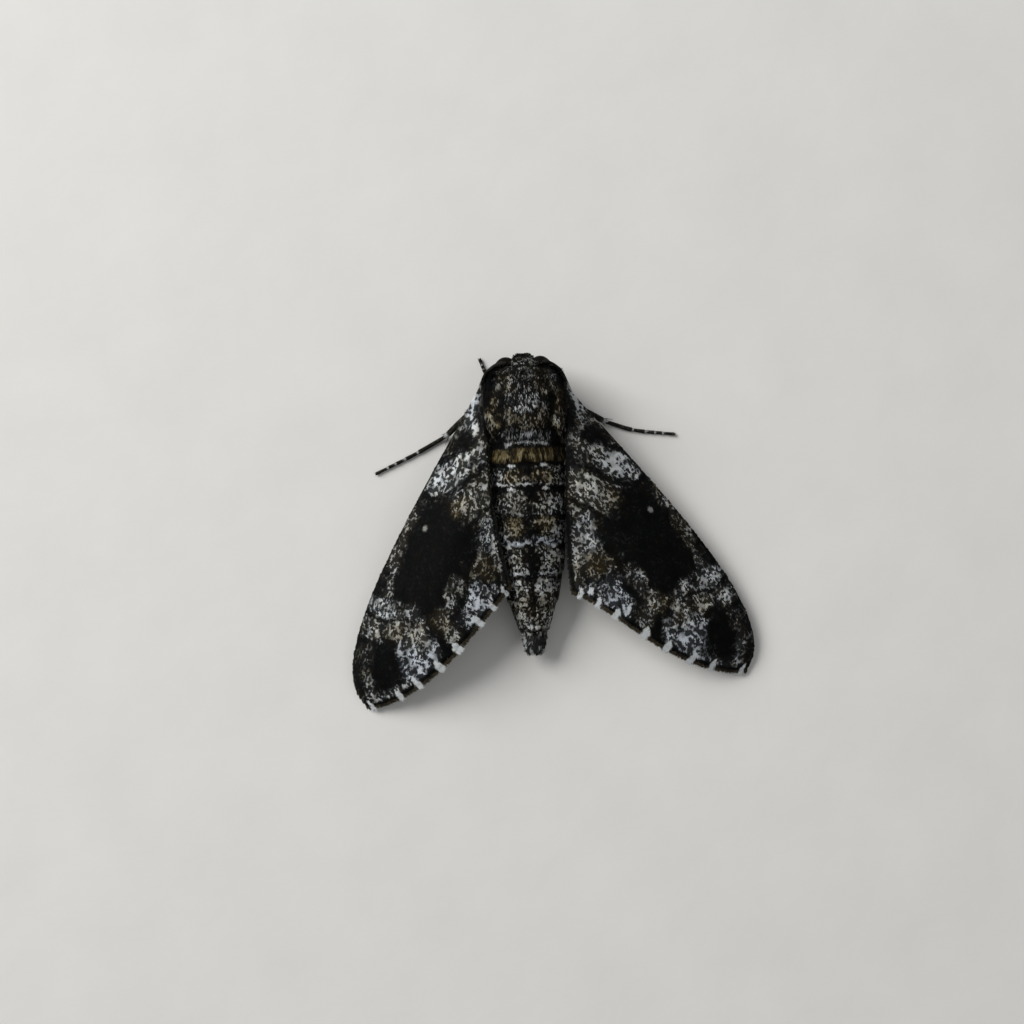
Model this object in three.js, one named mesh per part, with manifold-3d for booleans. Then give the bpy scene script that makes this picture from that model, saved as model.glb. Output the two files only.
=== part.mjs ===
// A hawk moth of the rustic sphinx kind, life size, at rest with its wings folded back like a roof.
// Millimetres. +Y points to the head, +X to the moth's own right, +Z up, and the floor is z = 0.
// The group is moved at the end so that the middle of its footprint is the origin.
import * as THREE from "three";
import { mergeVertices } from "three/addons/utils/BufferGeometryUtils.js";
import Module from "manifold-3d";

const wasm = await Module();
wasm.setup();

// ---------------------------------------------------------------- driving dimensions
const GAP = 0.3; // clear space left between neighbouring solids
const SLIVER = 0.02; // edges shorter than this are merged after a cut
const SIDES = { left: -1, right: 1 };

const BODY_MIDDLE = 8.4; // height of the thorax's widest line
const THORAX = [
  // from the waist to the neck: place along the body, half width, top, bottom
  { y: -7.6, halfWidth: 6.7, top: 13.0, bottom: 3.0 },
  { y: -4.4, halfWidth: 6.9, top: 14.3, bottom: 2.7 },
  { y: -0.4, halfWidth: 7.1, top: 14.9, bottom: 2.5 },
  { y: 2.8, halfWidth: 7.4, top: 14.4, bottom: 2.8 },
  { y: 5.0, halfWidth: 6.2, top: 12.9, bottom: 3.6 },
  { y: 6.1, halfWidth: 4.7, top: 11.4, bottom: 4.6 },
];
const THORAX_CUTS = { metathorax: -4.6, collar: 4.1 }; // where the thorax is parted

const ABDOMEN = {
  front: -8.0,
  rear: -40.4,
  frontHalfWidth: 6.9,
  rearHalfWidth: 2.6,
  widthTaper: 3.2,
  frontCentre: 8.0,
  rearCentre: 3.7,
  droop: 1.3,
  frontHalfHeight: 5.1,
  rearHalfHeight: 2.3,
  heightTaper: 3.0,
  flare: 0.22, // how far each ring's rear edge stands over the next ring
  tuftEnd: -44.0,
};
const RING_ENDS = [-10.3, -14.3, -19.4, -24.5, -29.7, -35.1, -40.4];

const HEAD = { y: 5.35, z: 7.3, halfWidth: 3.5, halfLength: 3.1, halfHeight: 3.7 };
const EYE = { x: 3.0, y: 5.85, z: 7.0, radius: 2.0 };
const PALP = { x: 1.25, radius: 1.05, tipRadius: 0.72 };
const PROBOSCIS = { y: 7.15, z: 2.75, outer: 1.35, inner: 0.35, thickness: 0.7 };
const ANTENNA = { thick: 0.42, thin: 0.27 };
const TEGULA = { x: 5.75, y: -0.5, z: 11.6, halfWidth: 1.5, halfLength: 5.6, halfHeight: 1.35, tilt: 42 };

// The forewing's outline lies in its own flat frame: first number along the chord to the apex,
// second across it, positive to the leading edge. All are as seen from straight above.
const WING = {
  rootX: 8.8,
  rootY: -0.9,
  thickness: 0.55,
  sweep: { left: 22.6, right: 31.0 }, // chord from straight back, in degrees
  innerLift: { left: 2.0, right: 0.3 }, // one hind edge rides higher, over the abdomen
  costa: [[-3.8, 0.3], [22.6, 4.7], [53.5, 10.8], [56.4, -0.6]],
  outer: [[56.4, -0.6], [49.0, -12.0], [33.0, -13.1], [27.1, -18.0]],
  inner: [[2.4, -3.4], [27.1, -18.0]],
  innerBow: { left: 1.2, right: -0.9 }, // how far the hind edge bends away from the body
  tuck: { left: 1.6, right: -0.4 }, // how far the hind corner is drawn in from the outline
};
const WING_HEIGHT = {
  costaRoot: 8.3,
  costaTip: 0.9,
  costaDrop: 0.62, // share of the way out at which half the height is lost
  innerRoot: 11.0,
  innerTip: 7.0,
  camber: 1.15,
};
const HINDWING = { below: 0.95, thickness: 0.5, reach: 0.7, costaShare: 0.26, innerShare: 0.93, start: 0.1 };

// Each leg's joints, for the moth's right side: hip, knee, end of the shin, bend and tip of the foot.
const LEGS = {
  foreleg: {
    hip: [2.5, 3.6, 3.4],
    knee: [6.3, 0.9, 4.3],
    ankle: [5.3, 2.3, 1.0],
    foot: { left: [[6.6, 5.6], [7.6, 8.4]], right: [[4.9, 4.6], [4.3, 7.0]] },
  },
  midleg: {
    hip: [3.4, -0.6, 2.5],
    knee: [9.6, -1.4, 4.6],
    ankle: { left: [14.2, -5.1, 0.95], right: [14.3, -3.7, 0.95] },
    foot: { left: [[20.2, -8.2], [27.1, -11.3]], right: [[19.8, -5.5], [26.8, -6.5]] },
  },
  hindleg: {
    hip: [3.0, -5.2, 2.6],
    knee: [8.6, -9.6, 4.4],
    ankle: [9.4, -17.6, 1.0],
    foot: { left: [[10.6, -22.5], [12.6, -28.4]], right: [[11.4, -22.3], [14.2, -28.0]] },
  },
};
const FEMUR_RADIUS = 0.75;
const TIBIA_RADIUS = 0.62;
const TARSUS_RADIUS = 0.42;
const TARSUS_SHARES = [0.42, 0.6, 0.73, 0.84]; // where the foot's rings part its five joints

// ---------------------------------------------------------------- materials
const darkScales = new THREE.MeshStandardMaterial({ color: 0x1d1b19, roughness: 0.85, metalness: 0 });
const greyScales = new THREE.MeshStandardMaterial({ color: 0x55524c, roughness: 0.85, metalness: 0 });
const ochreScales = new THREE.MeshStandardMaterial({ color: 0x6b5126, roughness: 0.85, metalness: 0 });
const eyeShell = new THREE.MeshStandardMaterial({ color: 0x140d0a, roughness: 0.2, metalness: 0 });
const horn = new THREE.MeshStandardMaterial({ color: 0x8b8478, roughness: 0.6, metalness: 0 });
const legScales = new THREE.MeshStandardMaterial({ color: 0x241f1c, roughness: 0.75, metalness: 0 });

// ---------------------------------------------------------------- tools
// Moves every vertex of a geometry by place(x, y, z) => [x, y, z].
function bend(geometry, place) {
  const position = geometry.getAttribute("position");
  for (let i = 0; i < position.count; i++) {
    position.setXYZ(i, ...place(position.getX(i), position.getY(i), position.getZ(i)));
  }
  return geometry;
}

// A closed geometry as a solid whose faces point out.
function solid(geometry) {
  const bare = geometry.clone();
  bare.deleteAttribute("normal");
  bare.deleteAttribute("uv");
  const merged = mergeVertices(bare, 1e-4);
  const vertProperties = Float32Array.from(merged.getAttribute("position").array);
  const triVerts = Uint32Array.from(merged.getIndex().array);
  const corner = [new THREE.Vector3(), new THREE.Vector3(), new THREE.Vector3()];
  let volume = 0;
  for (let i = 0; i < triVerts.length; i += 3) {
    corner.forEach((c, k) => c.fromArray(vertProperties, 3 * triVerts[i + k]));
    volume += corner[0].dot(corner[1].cross(corner[2]));
  }
  if (volume < 0) triVerts.reverse();
  return new wasm.Manifold(new wasm.Mesh({ numProp: 3, vertProperties, triVerts }));
}

// The largest body that is left of a solid once the others are taken from it, without the slivers
// that cutting leaves along the new edges.
function carve(whole, ...others) {
  const left = others.reduce((rest, other) => rest.subtract(other), whole);
  const bodies = left.asOriginal().simplify(SLIVER).decompose();
  return bodies.sort((a, b) => b.volume() - a.volume())[0];
}

function geometryOf(made) {
  const mesh = made.getMesh();
  return new THREE.BufferGeometry()
    .setAttribute("position", new THREE.BufferAttribute(Float32Array.from(mesh.vertProperties), 3))
    .setIndex(new THREE.BufferAttribute(Uint32Array.from(mesh.triVerts), 1));
}

const moth = new THREE.Group();
function add(name, made, material) {
  const mesh = new THREE.Mesh(geometryOf(made), material);
  mesh.name = name;
  moth.add(mesh);
}

const mix = THREE.MathUtils.lerp;
const mirrored = (point, side) => new THREE.Vector3(point[0] * side, point[1], point[2]);

// A closed barrel along the body: section(s) gives its place, half width, top and bottom at s from 0 to 1.
function barrel(section, around, along) {
  const cylinder = new THREE.CylinderGeometry(1, 1, 1, around, along);
  return bend(cylinder, (x, height, z) => {
    const { y, halfWidth, top, bottom } = section(height + 0.5);
    const middle = (top + bottom) / 2;
    return [x * halfWidth, y, middle + (z * (top - bottom)) / 2];
  });
}

// A closed ellipsoid.
function ball(centre, radii, around = 20, rings = 12) {
  return bend(new THREE.SphereGeometry(1, around, rings), (x, y, z) => [
    centre[0] + x * radii[0],
    centre[1] + y * radii[1],
    centre[2] + z * radii[2],
  ]);
}

// A closed tapered rod along a curve, with a flat where it meets the floor.
function limb(curve, radius, sides = 8, steps = 6) {
  const frames = curve.computeFrenetFrames(steps, false);
  return bend(new THREE.CylinderGeometry(1, 1, 1, sides, steps), (x, height, z) => {
    const s = height + 0.5;
    const step = Math.round(s * steps);
    const thick = radius(s);
    const point = curve
      .getPointAt(s)
      .addScaledVector(frames.normals[step], x * thick)
      .addScaledVector(frames.binormals[step], z * thick);
    return [point.x, point.y, Math.max(point.z, 0)];
  });
}

// A radius that is full in the middle and draws in at both ends.
const spindle = (radius, ends) => (s) => radius * mix(ends, 1, Math.pow(Math.sin(Math.PI * mix(0.12, 0.88, s)), 0.6));

// ---------------------------------------------------------------- thorax and abdomen
const thoraxShape = new THREE.CatmullRomCurve3(
  THORAX.map(({ halfWidth, top, bottom }) => new THREE.Vector3(halfWidth, top, bottom)),
);
const thoraxPlace = new THREE.CatmullRomCurve3(THORAX.map(({ y }) => new THREE.Vector3(0, y, 0)));

function thoraxSection(grow) {
  return (s) => {
    const shape = thoraxShape.getPoint(s);
    const endGrow = (2 * s - 1) * grow;
    return {
      y: thoraxPlace.getPoint(s).y + endGrow,
      halfWidth: shape.x + grow,
      top: shape.y + grow,
      bottom: shape.z - grow,
    };
  };
}

function abdomenSection(y) {
  const s = THREE.MathUtils.clamp((y - ABDOMEN.front) / (ABDOMEN.rear - ABDOMEN.front), 0, 1);
  const { rearHalfWidth, frontHalfWidth, rearHalfHeight, frontHalfHeight } = ABDOMEN;
  const halfWidth = mix(frontHalfWidth, rearHalfWidth, Math.pow(s, ABDOMEN.widthTaper));
  const halfHeight = mix(frontHalfHeight, rearHalfHeight, Math.pow(s, ABDOMEN.heightTaper));
  const centre = mix(ABDOMEN.frontCentre, ABDOMEN.rearCentre, Math.pow(s, ABDOMEN.droop));
  return { y, halfWidth, top: centre + halfHeight, bottom: centre - halfHeight };
}

// One ring of the abdomen, a little fuller at its rear edge.
function abdomenRing(from, to) {
  return (s) => {
    const section = abdomenSection(mix(from, to, s));
    const flare = ABDOMEN.flare * (s - 0.5);
    return {
      y: section.y,
      halfWidth: section.halfWidth + flare,
      top: section.top + flare,
      bottom: section.bottom - flare,
    };
  };
}

function slice(from, to) {
  const size = 40;
  const box = new THREE.BoxGeometry(size, to - from, size).translate(0, (from + to) / 2, BODY_MIDDLE);
  return solid(box);
}

// ---------------------------------------------------------------- forewing surface
const plane = ([along, across]) => new THREE.Vector3(along, across, 0);
const costa = new THREE.CubicBezierCurve3(...WING.costa.map(plane));
const outer = new THREE.CubicBezierCurve3(...WING.outer.map(plane));
const innerEnds = WING.inner.map(plane);

function innerEdge(r, side) {
  const point = new THREE.Vector3().lerpVectors(...innerEnds, r);
  point.y += WING.innerBow[side] * Math.sin(Math.PI * r);
  return point;
}

// A point of the flat outline, filled in between its four edges: r from root to outer edge,
// t from leading to hind edge.
function outline(r, t, side) {
  const rootEdge = new THREE.Vector3().lerpVectors(costa.getPoint(0), innerEnds[0], t);
  const outerEdge = outer.getPoint(t);
  const point = new THREE.Vector3();
  for (const [edge, share] of [
    [costa.getPoint(r), 1 - t],
    [innerEdge(r, side), t],
    [rootEdge, 1 - r],
    [outerEdge, r],
    [costa.getPoint(0), -(1 - r) * (1 - t)],
    [costa.getPoint(1), -r * (1 - t)],
    [innerEnds[0], -(1 - r) * t],
    [innerEnds[1], -r * t],
  ]) {
    point.addScaledVector(edge, share);
  }
  return point;
}

function wingHeight(r, t, side) {
  const { costaRoot, costaTip, costaDrop, innerRoot, innerTip, camber } = WING_HEIGHT;
  const costaHeight = mix(costaRoot, costaTip, Math.pow(r, costaDrop));
  const innerHeight = mix(innerRoot, innerTip, r * r) + WING.innerLift[side] * Math.sin((Math.PI / 2) * r);
  const dome = camber * Math.sin(Math.PI * t) * mix(0.6, 1, r);
  return mix(costaHeight, innerHeight, Math.sin((Math.PI / 2) * t)) + dome;
}

// A point of the forewing's middle surface in the moth's own frame.
function wingPoint(r, t, side) {
  const flat = outline(r, t, side);
  flat.y += WING.tuck[side] * r * Math.pow(t, 4);
  const sweep = THREE.MathUtils.degToRad(WING.sweep[side]);
  const x = WING.rootX + flat.x * Math.sin(sweep) + flat.y * Math.cos(sweep);
  const y = WING.rootY - flat.x * Math.cos(sweep) + flat.y * Math.sin(sweep);
  return new THREE.Vector3(x * SIDES[side], y, wingHeight(r, t, side));
}

function wingNormal(r, t, side) {
  const step = 0.01;
  const [rIn, tIn] = [r, t].map((share) => THREE.MathUtils.clamp(share, step, 1 - step));
  const outward = wingPoint(rIn + step, tIn, side).sub(wingPoint(rIn - step, tIn, side));
  const across = wingPoint(rIn, tIn + step, side).sub(wingPoint(rIn, tIn - step, side));
  const normal = outward.cross(across).normalize();
  return normal.z < 0 ? normal.negate() : normal;
}

// A sheet of even thickness that follows the forewing's surface, offset below it by drop.
function wingSheet(side, place, thickness, drop, steps) {
  const box = new THREE.BoxGeometry(1, 1, 1, steps[0], steps[1], 1);
  return bend(box, (x, y, z) => {
    const [r, t] = place(x + 0.5, y + 0.5);
    const point = wingPoint(r, t, side).addScaledVector(wingNormal(r, t, side), z * thickness - drop);
    return point.toArray();
  });
}

// The hindwing lies folded under the forewing: a fan with a rounded edge, in the forewing's own shares.
function hindwingPlace(u, v) {
  const { reach, costaShare, innerShare, start } = HINDWING;
  const edge = reach * (1 - 0.2 * Math.pow(v, 3)) * (0.86 + 0.14 * Math.sin(Math.PI * Math.min(1, v + 0.25)));
  const r = mix(start, edge, u);
  const spread = mix(0.45, 1, Math.sqrt(u));
  return [r, mix(innerShare, costaShare, (1 - v) * spread)];
}

// ---------------------------------------------------------------- head parts
function eyeBall(side, grow) {
  return ball([EYE.x * side, EYE.y, EYE.z], Array(3).fill(EYE.radius + grow), 14, 10);
}

// The palp climbs from the mouth up the front of the face, and narrows to the middle of the brow.
function palp(side, grow) {
  const path = new THREE.CatmullRomCurve3(
    [
      [PALP.x - 0.15, 6.5, 3.35],
      [PALP.x + 0.05, 7.55, 4.5],
      [PALP.x - 0.12, 7.95, 6.2],
      [PALP.x - 0.48, 7.7, 8.0],
    ].map((point) => mirrored(point, side)),
  );
  const fullness = spindle(1, 0.3);
  return limb(path, (s) => mix(PALP.radius, PALP.tipRadius, s) * fullness(s) + grow, 10, 8);
}

// The antenna leaves the top of the head, passes behind the shoulder and goes under the wing root.
function antenna(side, grow) {
  const path = new THREE.CatmullRomCurve3(
    [
      [2.3, 6.2, 9.7],
      [4.3, 6.3, 9.2],
      [6.3, 5.1, 7.8],
      [7.4, 3.1, 6.7],
      [8.4, 0.4, 6.2],
      [9.6, -3.5, 5.8],
      [10.9, -8.6, 5.3],
      [12.4, -14.5, 4.8],
    ].map((point) => mirrored(point, side)),
  );
  return limb(path, (s) => mix(ANTENNA.thick, ANTENNA.thin, Math.pow(s, 2)) + grow, 6, 16);
}

function proboscis() {
  const { outer: far, inner: near, thickness, y, z } = PROBOSCIS;
  const edge = 0.12;
  const profile = [
    [near, -thickness / 2],
    [far - edge, -thickness / 2],
    [far, -thickness / 2 + edge],
    [far, thickness / 2 - edge],
    [far - edge, thickness / 2],
    [near, thickness / 2],
    [near, -thickness / 2],
  ].map(([radius, height]) => new THREE.Vector2(radius, height));
  return new THREE.LatheGeometry(profile, 14).rotateZ(Math.PI / 2).translate(0, y, z);
}

// The tegula is a scaled flap that caps the wing root beside the thorax.
function tegula(side, grow) {
  const { halfWidth, halfLength, halfHeight, tilt, x, y, z } = TEGULA;
  const flap = ball([0, 0, 0], [halfWidth + grow, halfLength + grow, halfHeight + grow], 12, 8);
  return flap.rotateY(THREE.MathUtils.degToRad(tilt) * side).translate(x * side, y, z);
}

// ---------------------------------------------------------------- legs
const choose = (value, side) => (Array.isArray(value) ? value : value[side]);

function thigh(leg, side, grow) {
  const hip = mirrored(leg.hip, SIDES[side]);
  const knee = mirrored(leg.knee, SIDES[side]);
  const path = new THREE.LineCurve3(hip, knee);
  return limb(path, spindle(FEMUR_RADIUS + grow, 0.55), 8, 5);
}

function shin(leg, side) {
  const knee = mirrored(leg.knee, SIDES[side]);
  const ankle = mirrored(choose(leg.ankle, side), SIDES[side]);
  const along = new THREE.Vector3().subVectors(ankle, knee).normalize();
  const path = new THREE.LineCurve3(
    knee.clone().addScaledVector(along, FEMUR_RADIUS),
    ankle.clone().addScaledVector(along, -0.1),
  );
  return limb(path, spindle(TIBIA_RADIUS, 0.6), 8, 5);
}

// The foot lies on the floor: five joints that narrow to a pair of claws.
function foot(leg, side) {
  const ankle = mirrored(choose(leg.ankle, side), SIDES[side]);
  const [middle, tip] = leg.foot[side].map(([x, y], joint) =>
    mirrored([x, y, TARSUS_RADIUS * mix(0.74, 0.6, joint)], SIDES[side]),
  );
  const start = ankle.clone().setZ(TARSUS_RADIUS * 0.92);
  const away = new THREE.Vector3().subVectors(middle, start).normalize();
  start.addScaledVector(away, TIBIA_RADIUS + GAP);
  const path = new THREE.CatmullRomCurve3([start, middle, tip]);
  const waist = (s) => TARSUS_SHARES.reduce((narrow, share) => Math.min(narrow, Math.abs(s - share) * 12), 1);
  return limb(path, (s) => TARSUS_RADIUS * mix(1.1, 0.72, s) * mix(0.86, 1, waist(s)), 8, 14);
}

// ---------------------------------------------------------------- assembly
const sideNames = Object.keys(SIDES);
const wholeThorax = solid(barrel(thoraxSection(0), 24, 15));
const grownThorax = solid(barrel(thoraxSection(GAP), 24, 15));
const grownTegulae = sideNames.map((side) => solid(tegula(SIDES[side], GAP)));
const grownAntennae = sideNames.map((side) => solid(antenna(SIDES[side], GAP)));
const grownThighs = sideNames.flatMap((side) => Object.values(LEGS).map((leg) => solid(thigh(leg, side, GAP))));

const headShape = ball([0, HEAD.y, HEAD.z], [HEAD.halfWidth, HEAD.halfLength, HEAD.halfHeight], 16, 12);
const grownEyes = sideNames.map((side) => solid(eyeBall(SIDES[side], GAP)));
const grownPalps = sideNames.map((side) => solid(palp(SIDES[side], GAP)));
add("head", carve(solid(headShape), grownThorax, ...grownEyes, ...grownPalps, ...grownAntennae), darkScales);
for (const side of sideNames) {
  const eyeLimits = [grownThorax, ...grownPalps, ...grownAntennae];
  add("eye_" + side, carve(solid(eyeBall(SIDES[side], 0)), ...eyeLimits), eyeShell);
  add("palp_" + side, solid(palp(SIDES[side], 0)), greyScales);
  add("antenna_" + side, solid(antenna(SIDES[side], 0)), horn);
  add("tegula_" + side, solid(tegula(SIDES[side], 0)), darkScales);
}
add("proboscis", solid(proboscis()), horn);

const bodyLimits = [...grownTegulae, ...grownAntennae, ...grownThighs];
const { metathorax, collar } = THORAX_CUTS;
const thoraxPart = (from, to) => carve(wholeThorax.intersect(slice(from, to)), ...bodyLimits);
add("collar", thoraxPart(collar + GAP / 2, 20), greyScales);
add("thorax", thoraxPart(metathorax + GAP / 2, collar - GAP / 2), darkScales);
add("metathorax", thoraxPart(-20, metathorax - GAP / 2), ochreScales);

let ringStart = ABDOMEN.front;
RING_ENDS.forEach((ringEnd, index) => {
  const ring = barrel(abdomenRing(ringStart, ringEnd + GAP), 20, 2);
  add("abdomen_" + (index + 1), carve(solid(ring), ...grownThighs), index % 2 ? darkScales : greyScales);
  ringStart = ringEnd;
});

// The brush of long scales at the tail.
const tuftSection = (s) => {
  const root = abdomenSection(ABDOMEN.rear);
  const drawIn = 0.12 + 0.42 * s;
  return {
    y: mix(ABDOMEN.rear, ABDOMEN.tuftEnd, s),
    halfWidth: root.halfWidth * (1 - drawIn * 0.75),
    top: mix(root.top, root.bottom, drawIn * 0.62),
    bottom: mix(root.bottom, root.top, drawIn * 0.3),
  };
};
add("tail_tuft", solid(barrel(tuftSection, 14, 3)), darkScales);

for (const side of sideNames) {
  const rootLimits = [grownThorax, ...grownTegulae, ...grownAntennae];
  const fore = solid(wingSheet(side, (u, v) => [u, v], WING.thickness, 0, [16, 9]));
  add("forewing_" + side, carve(fore, ...rootLimits), darkScales);
  const { thickness, below } = HINDWING;
  const hind = solid(wingSheet(side, hindwingPlace, thickness, below, [9, 6]));
  add("hindwing_" + side, carve(hind, ...rootLimits), greyScales);
}

for (const [name, leg] of Object.entries(LEGS)) {
  for (const side of sideNames) {
    add(name + "_femur_" + side, solid(thigh(leg, side, 0)), legScales);
    add(name + "_tibia_" + side, carve(solid(shin(leg, side)), ...grownThighs), legScales);
    add(name + "_tarsus_" + side, solid(foot(leg, side)), legScales);
  }
}

const footprint = new THREE.Box3().setFromObject(moth);
const middle = footprint.getCenter(new THREE.Vector3());
moth.position.set(-middle.x, -middle.y, 0);

export default moth;
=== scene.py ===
"""A hawk moth at rest, life size: one skin under a coat of scales, scaled wings with veins and
fringes, eyes, feelers, a coiled tongue and jointed legs, on a plain pale floor."""

import functools
import itertools
import math

import bmesh
import bpy
import numpy as np
from bpy.props import FloatProperty, FloatVectorProperty, IntProperty, PointerProperty
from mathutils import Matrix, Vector


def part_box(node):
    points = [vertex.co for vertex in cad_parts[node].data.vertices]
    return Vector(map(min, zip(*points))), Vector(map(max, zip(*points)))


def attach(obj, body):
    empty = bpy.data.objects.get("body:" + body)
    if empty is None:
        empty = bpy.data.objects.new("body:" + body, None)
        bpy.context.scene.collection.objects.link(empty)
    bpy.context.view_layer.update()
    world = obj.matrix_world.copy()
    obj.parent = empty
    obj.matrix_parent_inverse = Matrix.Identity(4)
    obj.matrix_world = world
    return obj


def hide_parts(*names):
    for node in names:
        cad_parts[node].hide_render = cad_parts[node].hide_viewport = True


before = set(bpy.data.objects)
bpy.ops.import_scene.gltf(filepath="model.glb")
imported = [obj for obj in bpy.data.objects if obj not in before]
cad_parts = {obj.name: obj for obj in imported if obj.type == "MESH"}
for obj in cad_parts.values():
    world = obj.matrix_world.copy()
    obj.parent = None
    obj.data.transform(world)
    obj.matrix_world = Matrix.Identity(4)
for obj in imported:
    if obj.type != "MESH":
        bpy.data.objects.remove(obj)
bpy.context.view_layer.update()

bl_info = {
    "name": "Hawk Moth",
    "version": (1, 0, 0),
    "blender": (4, 5, 0),
    "location": "View3D > Sidebar > Moth",
    "description": "Builds a resting hawk moth with its coat of scales",
    "category": "Object",
}

# ------------------------------------------------------------------ frame and driving sizes
# Shapes are worked out in millimetres in the moth's own frame: +Y to the head, +X to its own
# right, x = 0 its middle plane. ORIGIN is that frame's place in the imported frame, in metres.
MM = 0.001
THORAX_FRONT = 3.95  # where the thorax solid ends against the collar
thorax_low, thorax_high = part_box("thorax")
ORIGIN = np.array([(thorax_low.x + thorax_high.x) / 2, thorax_high.y - THORAX_FRONT * MM, 0.0])
SIDES = {"left": -1, "right": 1}

RING_ENDS = (-10.3, -14.3, -19.4, -24.5, -29.7, -35.1, -40.4)  # rear ends of the abdomen's rings
TAIL_ROOT = RING_ENDS[-1]
TAIL_END = -44.0
WAIST = -7.8  # where the abdomen's coat begins
SHAWL_EDGE = -6.95  # where the thorax's last long hairs end
BODY_MIDDLE = 8.4  # height of the body's widest line

EYE = {"x": 3.0, "y": 5.85, "z": 7.0, "radius": 1.95}
BROW = {"scales": 900, "reach": 52, "width": 0.14, "lift": 0.07}  # reach: degrees from the eye's top
PROBOSCIS = {"y": 7.15, "z": 2.75, "outer": 1.12, "inner": 0.3, "turns": 2.4, "thick": 0.24, "ridges": 90}
ANTENNA_PATH = (
    (2.3, 6.2, 9.7), (4.3, 6.3, 9.2), (6.3, 5.1, 7.8), (7.4, 3.1, 6.7),
    (8.4, 0.4, 6.2), (9.6, -3.5, 5.8), (10.9, -8.6, 5.3), (12.4, -14.5, 4.8),
)
ANTENNA = {"thick": 0.38, "thin": 0.22, "rings": 78}

# The root is a place beside the thorax. The outline's points lie in the wing's own flat frame: from
# the root outward to the apex, and across, positive to the leading edge. Sweep: degrees from straight back.
WING = {
    "root": (8.8, -0.9),
    "sweep": {"left": 22.6, "right": 31.0},
    "inner_lift": {"left": 2.0, "right": 0.3},
    "tuck": {"left": 1.6, "right": -0.4},
    "costa": ((-3.8, 0.3), (22.6, 4.7), (53.5, 10.8), (56.4, -0.6)),
    "outer": ((56.4, -0.6), (49.0, -12.0), (33.0, -13.1), (27.1, -18.0)),
    "inner": ((2.4, -3.4), (27.1, -18.0)),
    "inner_bow": {"left": 1.2, "right": -0.9},
}
WING_HEIGHT = {
    "costa_root": 8.3, "costa_tip": 0.9, "costa_drop": 0.62,
    "inner_root": 11.0, "inner_tip": 7.0, "camber": 1.15,
}
HINDWING = {"below": 0.95, "reach": 0.7, "costa_share": 0.26, "inner_share": 0.93, "start": 0.1}

LEGS = {
    "foreleg": {
        "hip": (2.5, 3.6, 3.4), "knee": (6.3, 0.9, 4.3),
        "ankle": {"left": (5.3, 2.3, 1.0), "right": (5.3, 2.3, 1.0)},
        "foot": {"left": ((6.6, 5.6), (7.6, 8.4)), "right": ((4.9, 4.6), (4.3, 7.0))},
        "spurs": (),
    },
    "midleg": {
        "hip": (3.4, -0.6, 2.5), "knee": (9.6, -1.4, 4.6),
        "ankle": {"left": (14.2, -5.1, 0.95), "right": (14.3, -3.7, 0.95)},
        "foot": {"left": ((20.2, -8.2), (27.1, -11.3)), "right": ((19.8, -5.5), (26.8, -6.5))},
        "spurs": (0.93,),
    },
    "hindleg": {
        "hip": (3.0, -5.2, 2.6), "knee": (8.6, -9.6, 4.4),
        "ankle": {"left": (9.4, -17.6, 1.0), "right": (9.4, -17.6, 1.0)},
        "foot": {"left": ((10.6, -22.5), (12.6, -28.4)), "right": ((11.4, -22.3), (14.2, -28.0))},
        "spurs": (0.62, 0.93),
    },
}
FEMUR_RADIUS, TIBIA_RADIUS, TARSUS_RADIUS = 0.68, 0.56, 0.38
TARSUS_JOINTS = (0.0, 0.42, 0.6, 0.73, 0.84, 1.0)  # the foot's five joints lie between these


# ------------------------------------------------------------------ properties
class MothSizes(bpy.types.PropertyGroup):
    wing_scale_length: FloatProperty(
        name="Wing scale length", description="Length of one scale on the upper side of a forewing",
        default=0.52 * MM, min=0.3 * MM, max=2 * MM, unit="LENGTH")
    wing_scale_width: FloatProperty(
        name="Wing scale width", description="Width of one scale on the upper side of a forewing",
        default=0.17 * MM, min=0.1 * MM, max=0.6 * MM, unit="LENGTH")
    wing_scales: IntProperty(
        name="Scales per square millimetre", description="Scales on the upper side of a forewing",
        default=84, min=5, max=85)
    hair_length: FloatProperty(
        name="Body hair length", description="Length of the hair-like scales on the thorax",
        default=1.05 * MM, min=0.5 * MM, max=3 * MM, unit="LENGTH")
    coat_depth: FloatProperty(
        name="Coat depth", description="How far the skin lies under the coat's outline",
        default=0.28 * MM, min=0.1 * MM, max=1 * MM, unit="LENGTH")
    skin_step: FloatProperty(
        name="Skin step", description="Edge length of the body skin's faces",
        default=0.25 * MM, min=0.15 * MM, max=0.6 * MM, unit="LENGTH")


def palette(name, description, default):
    """A colour that the user can change."""
    return FloatVectorProperty(
        name=name, description=description, subtype="COLOR", size=4, min=0, max=1,
        default=(*default, 1.0))


class MothColours(bpy.types.PropertyGroup):
    black: palette("Black scales", "Ground colour of the wings and body", (0.0022, 0.0024, 0.0026))
    grey: palette("Grey scales", "Half-pale scales", (0.085, 0.087, 0.082))
    white: palette("White scales", "The palest scales", (0.62, 0.64, 0.64))
    umber: palette("Umber scales", "Darkest of the warm scales", (0.008, 0.006, 0.004))
    ochre: palette("Ochre scales", "Warm scales of the bands", (0.105, 0.079, 0.031))
    cream: palette("Cream scales", "Palest of the warm scales", (0.43, 0.385, 0.26))
    slate: palette("Slate scales", "Half-pale cool scales", (0.085, 0.095, 0.115))
    # Lilac is partly the palest scales' own cool tint and partly painted reflection of a blue sky.
    lilac_and_sky_sheen: palette("Lilac scales", "Palest of the cool scales", (0.54, 0.6, 0.7))
    eye: palette("Eye", "Ground colour of the eyes", (0.006, 0.0045, 0.004))
    horn: palette("Horn", "Tongue, claws and spurs", (0.11, 0.062, 0.03))
    floor: palette("Floor", "The plain floor under the moth", (0.74, 0.725, 0.69))


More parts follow.
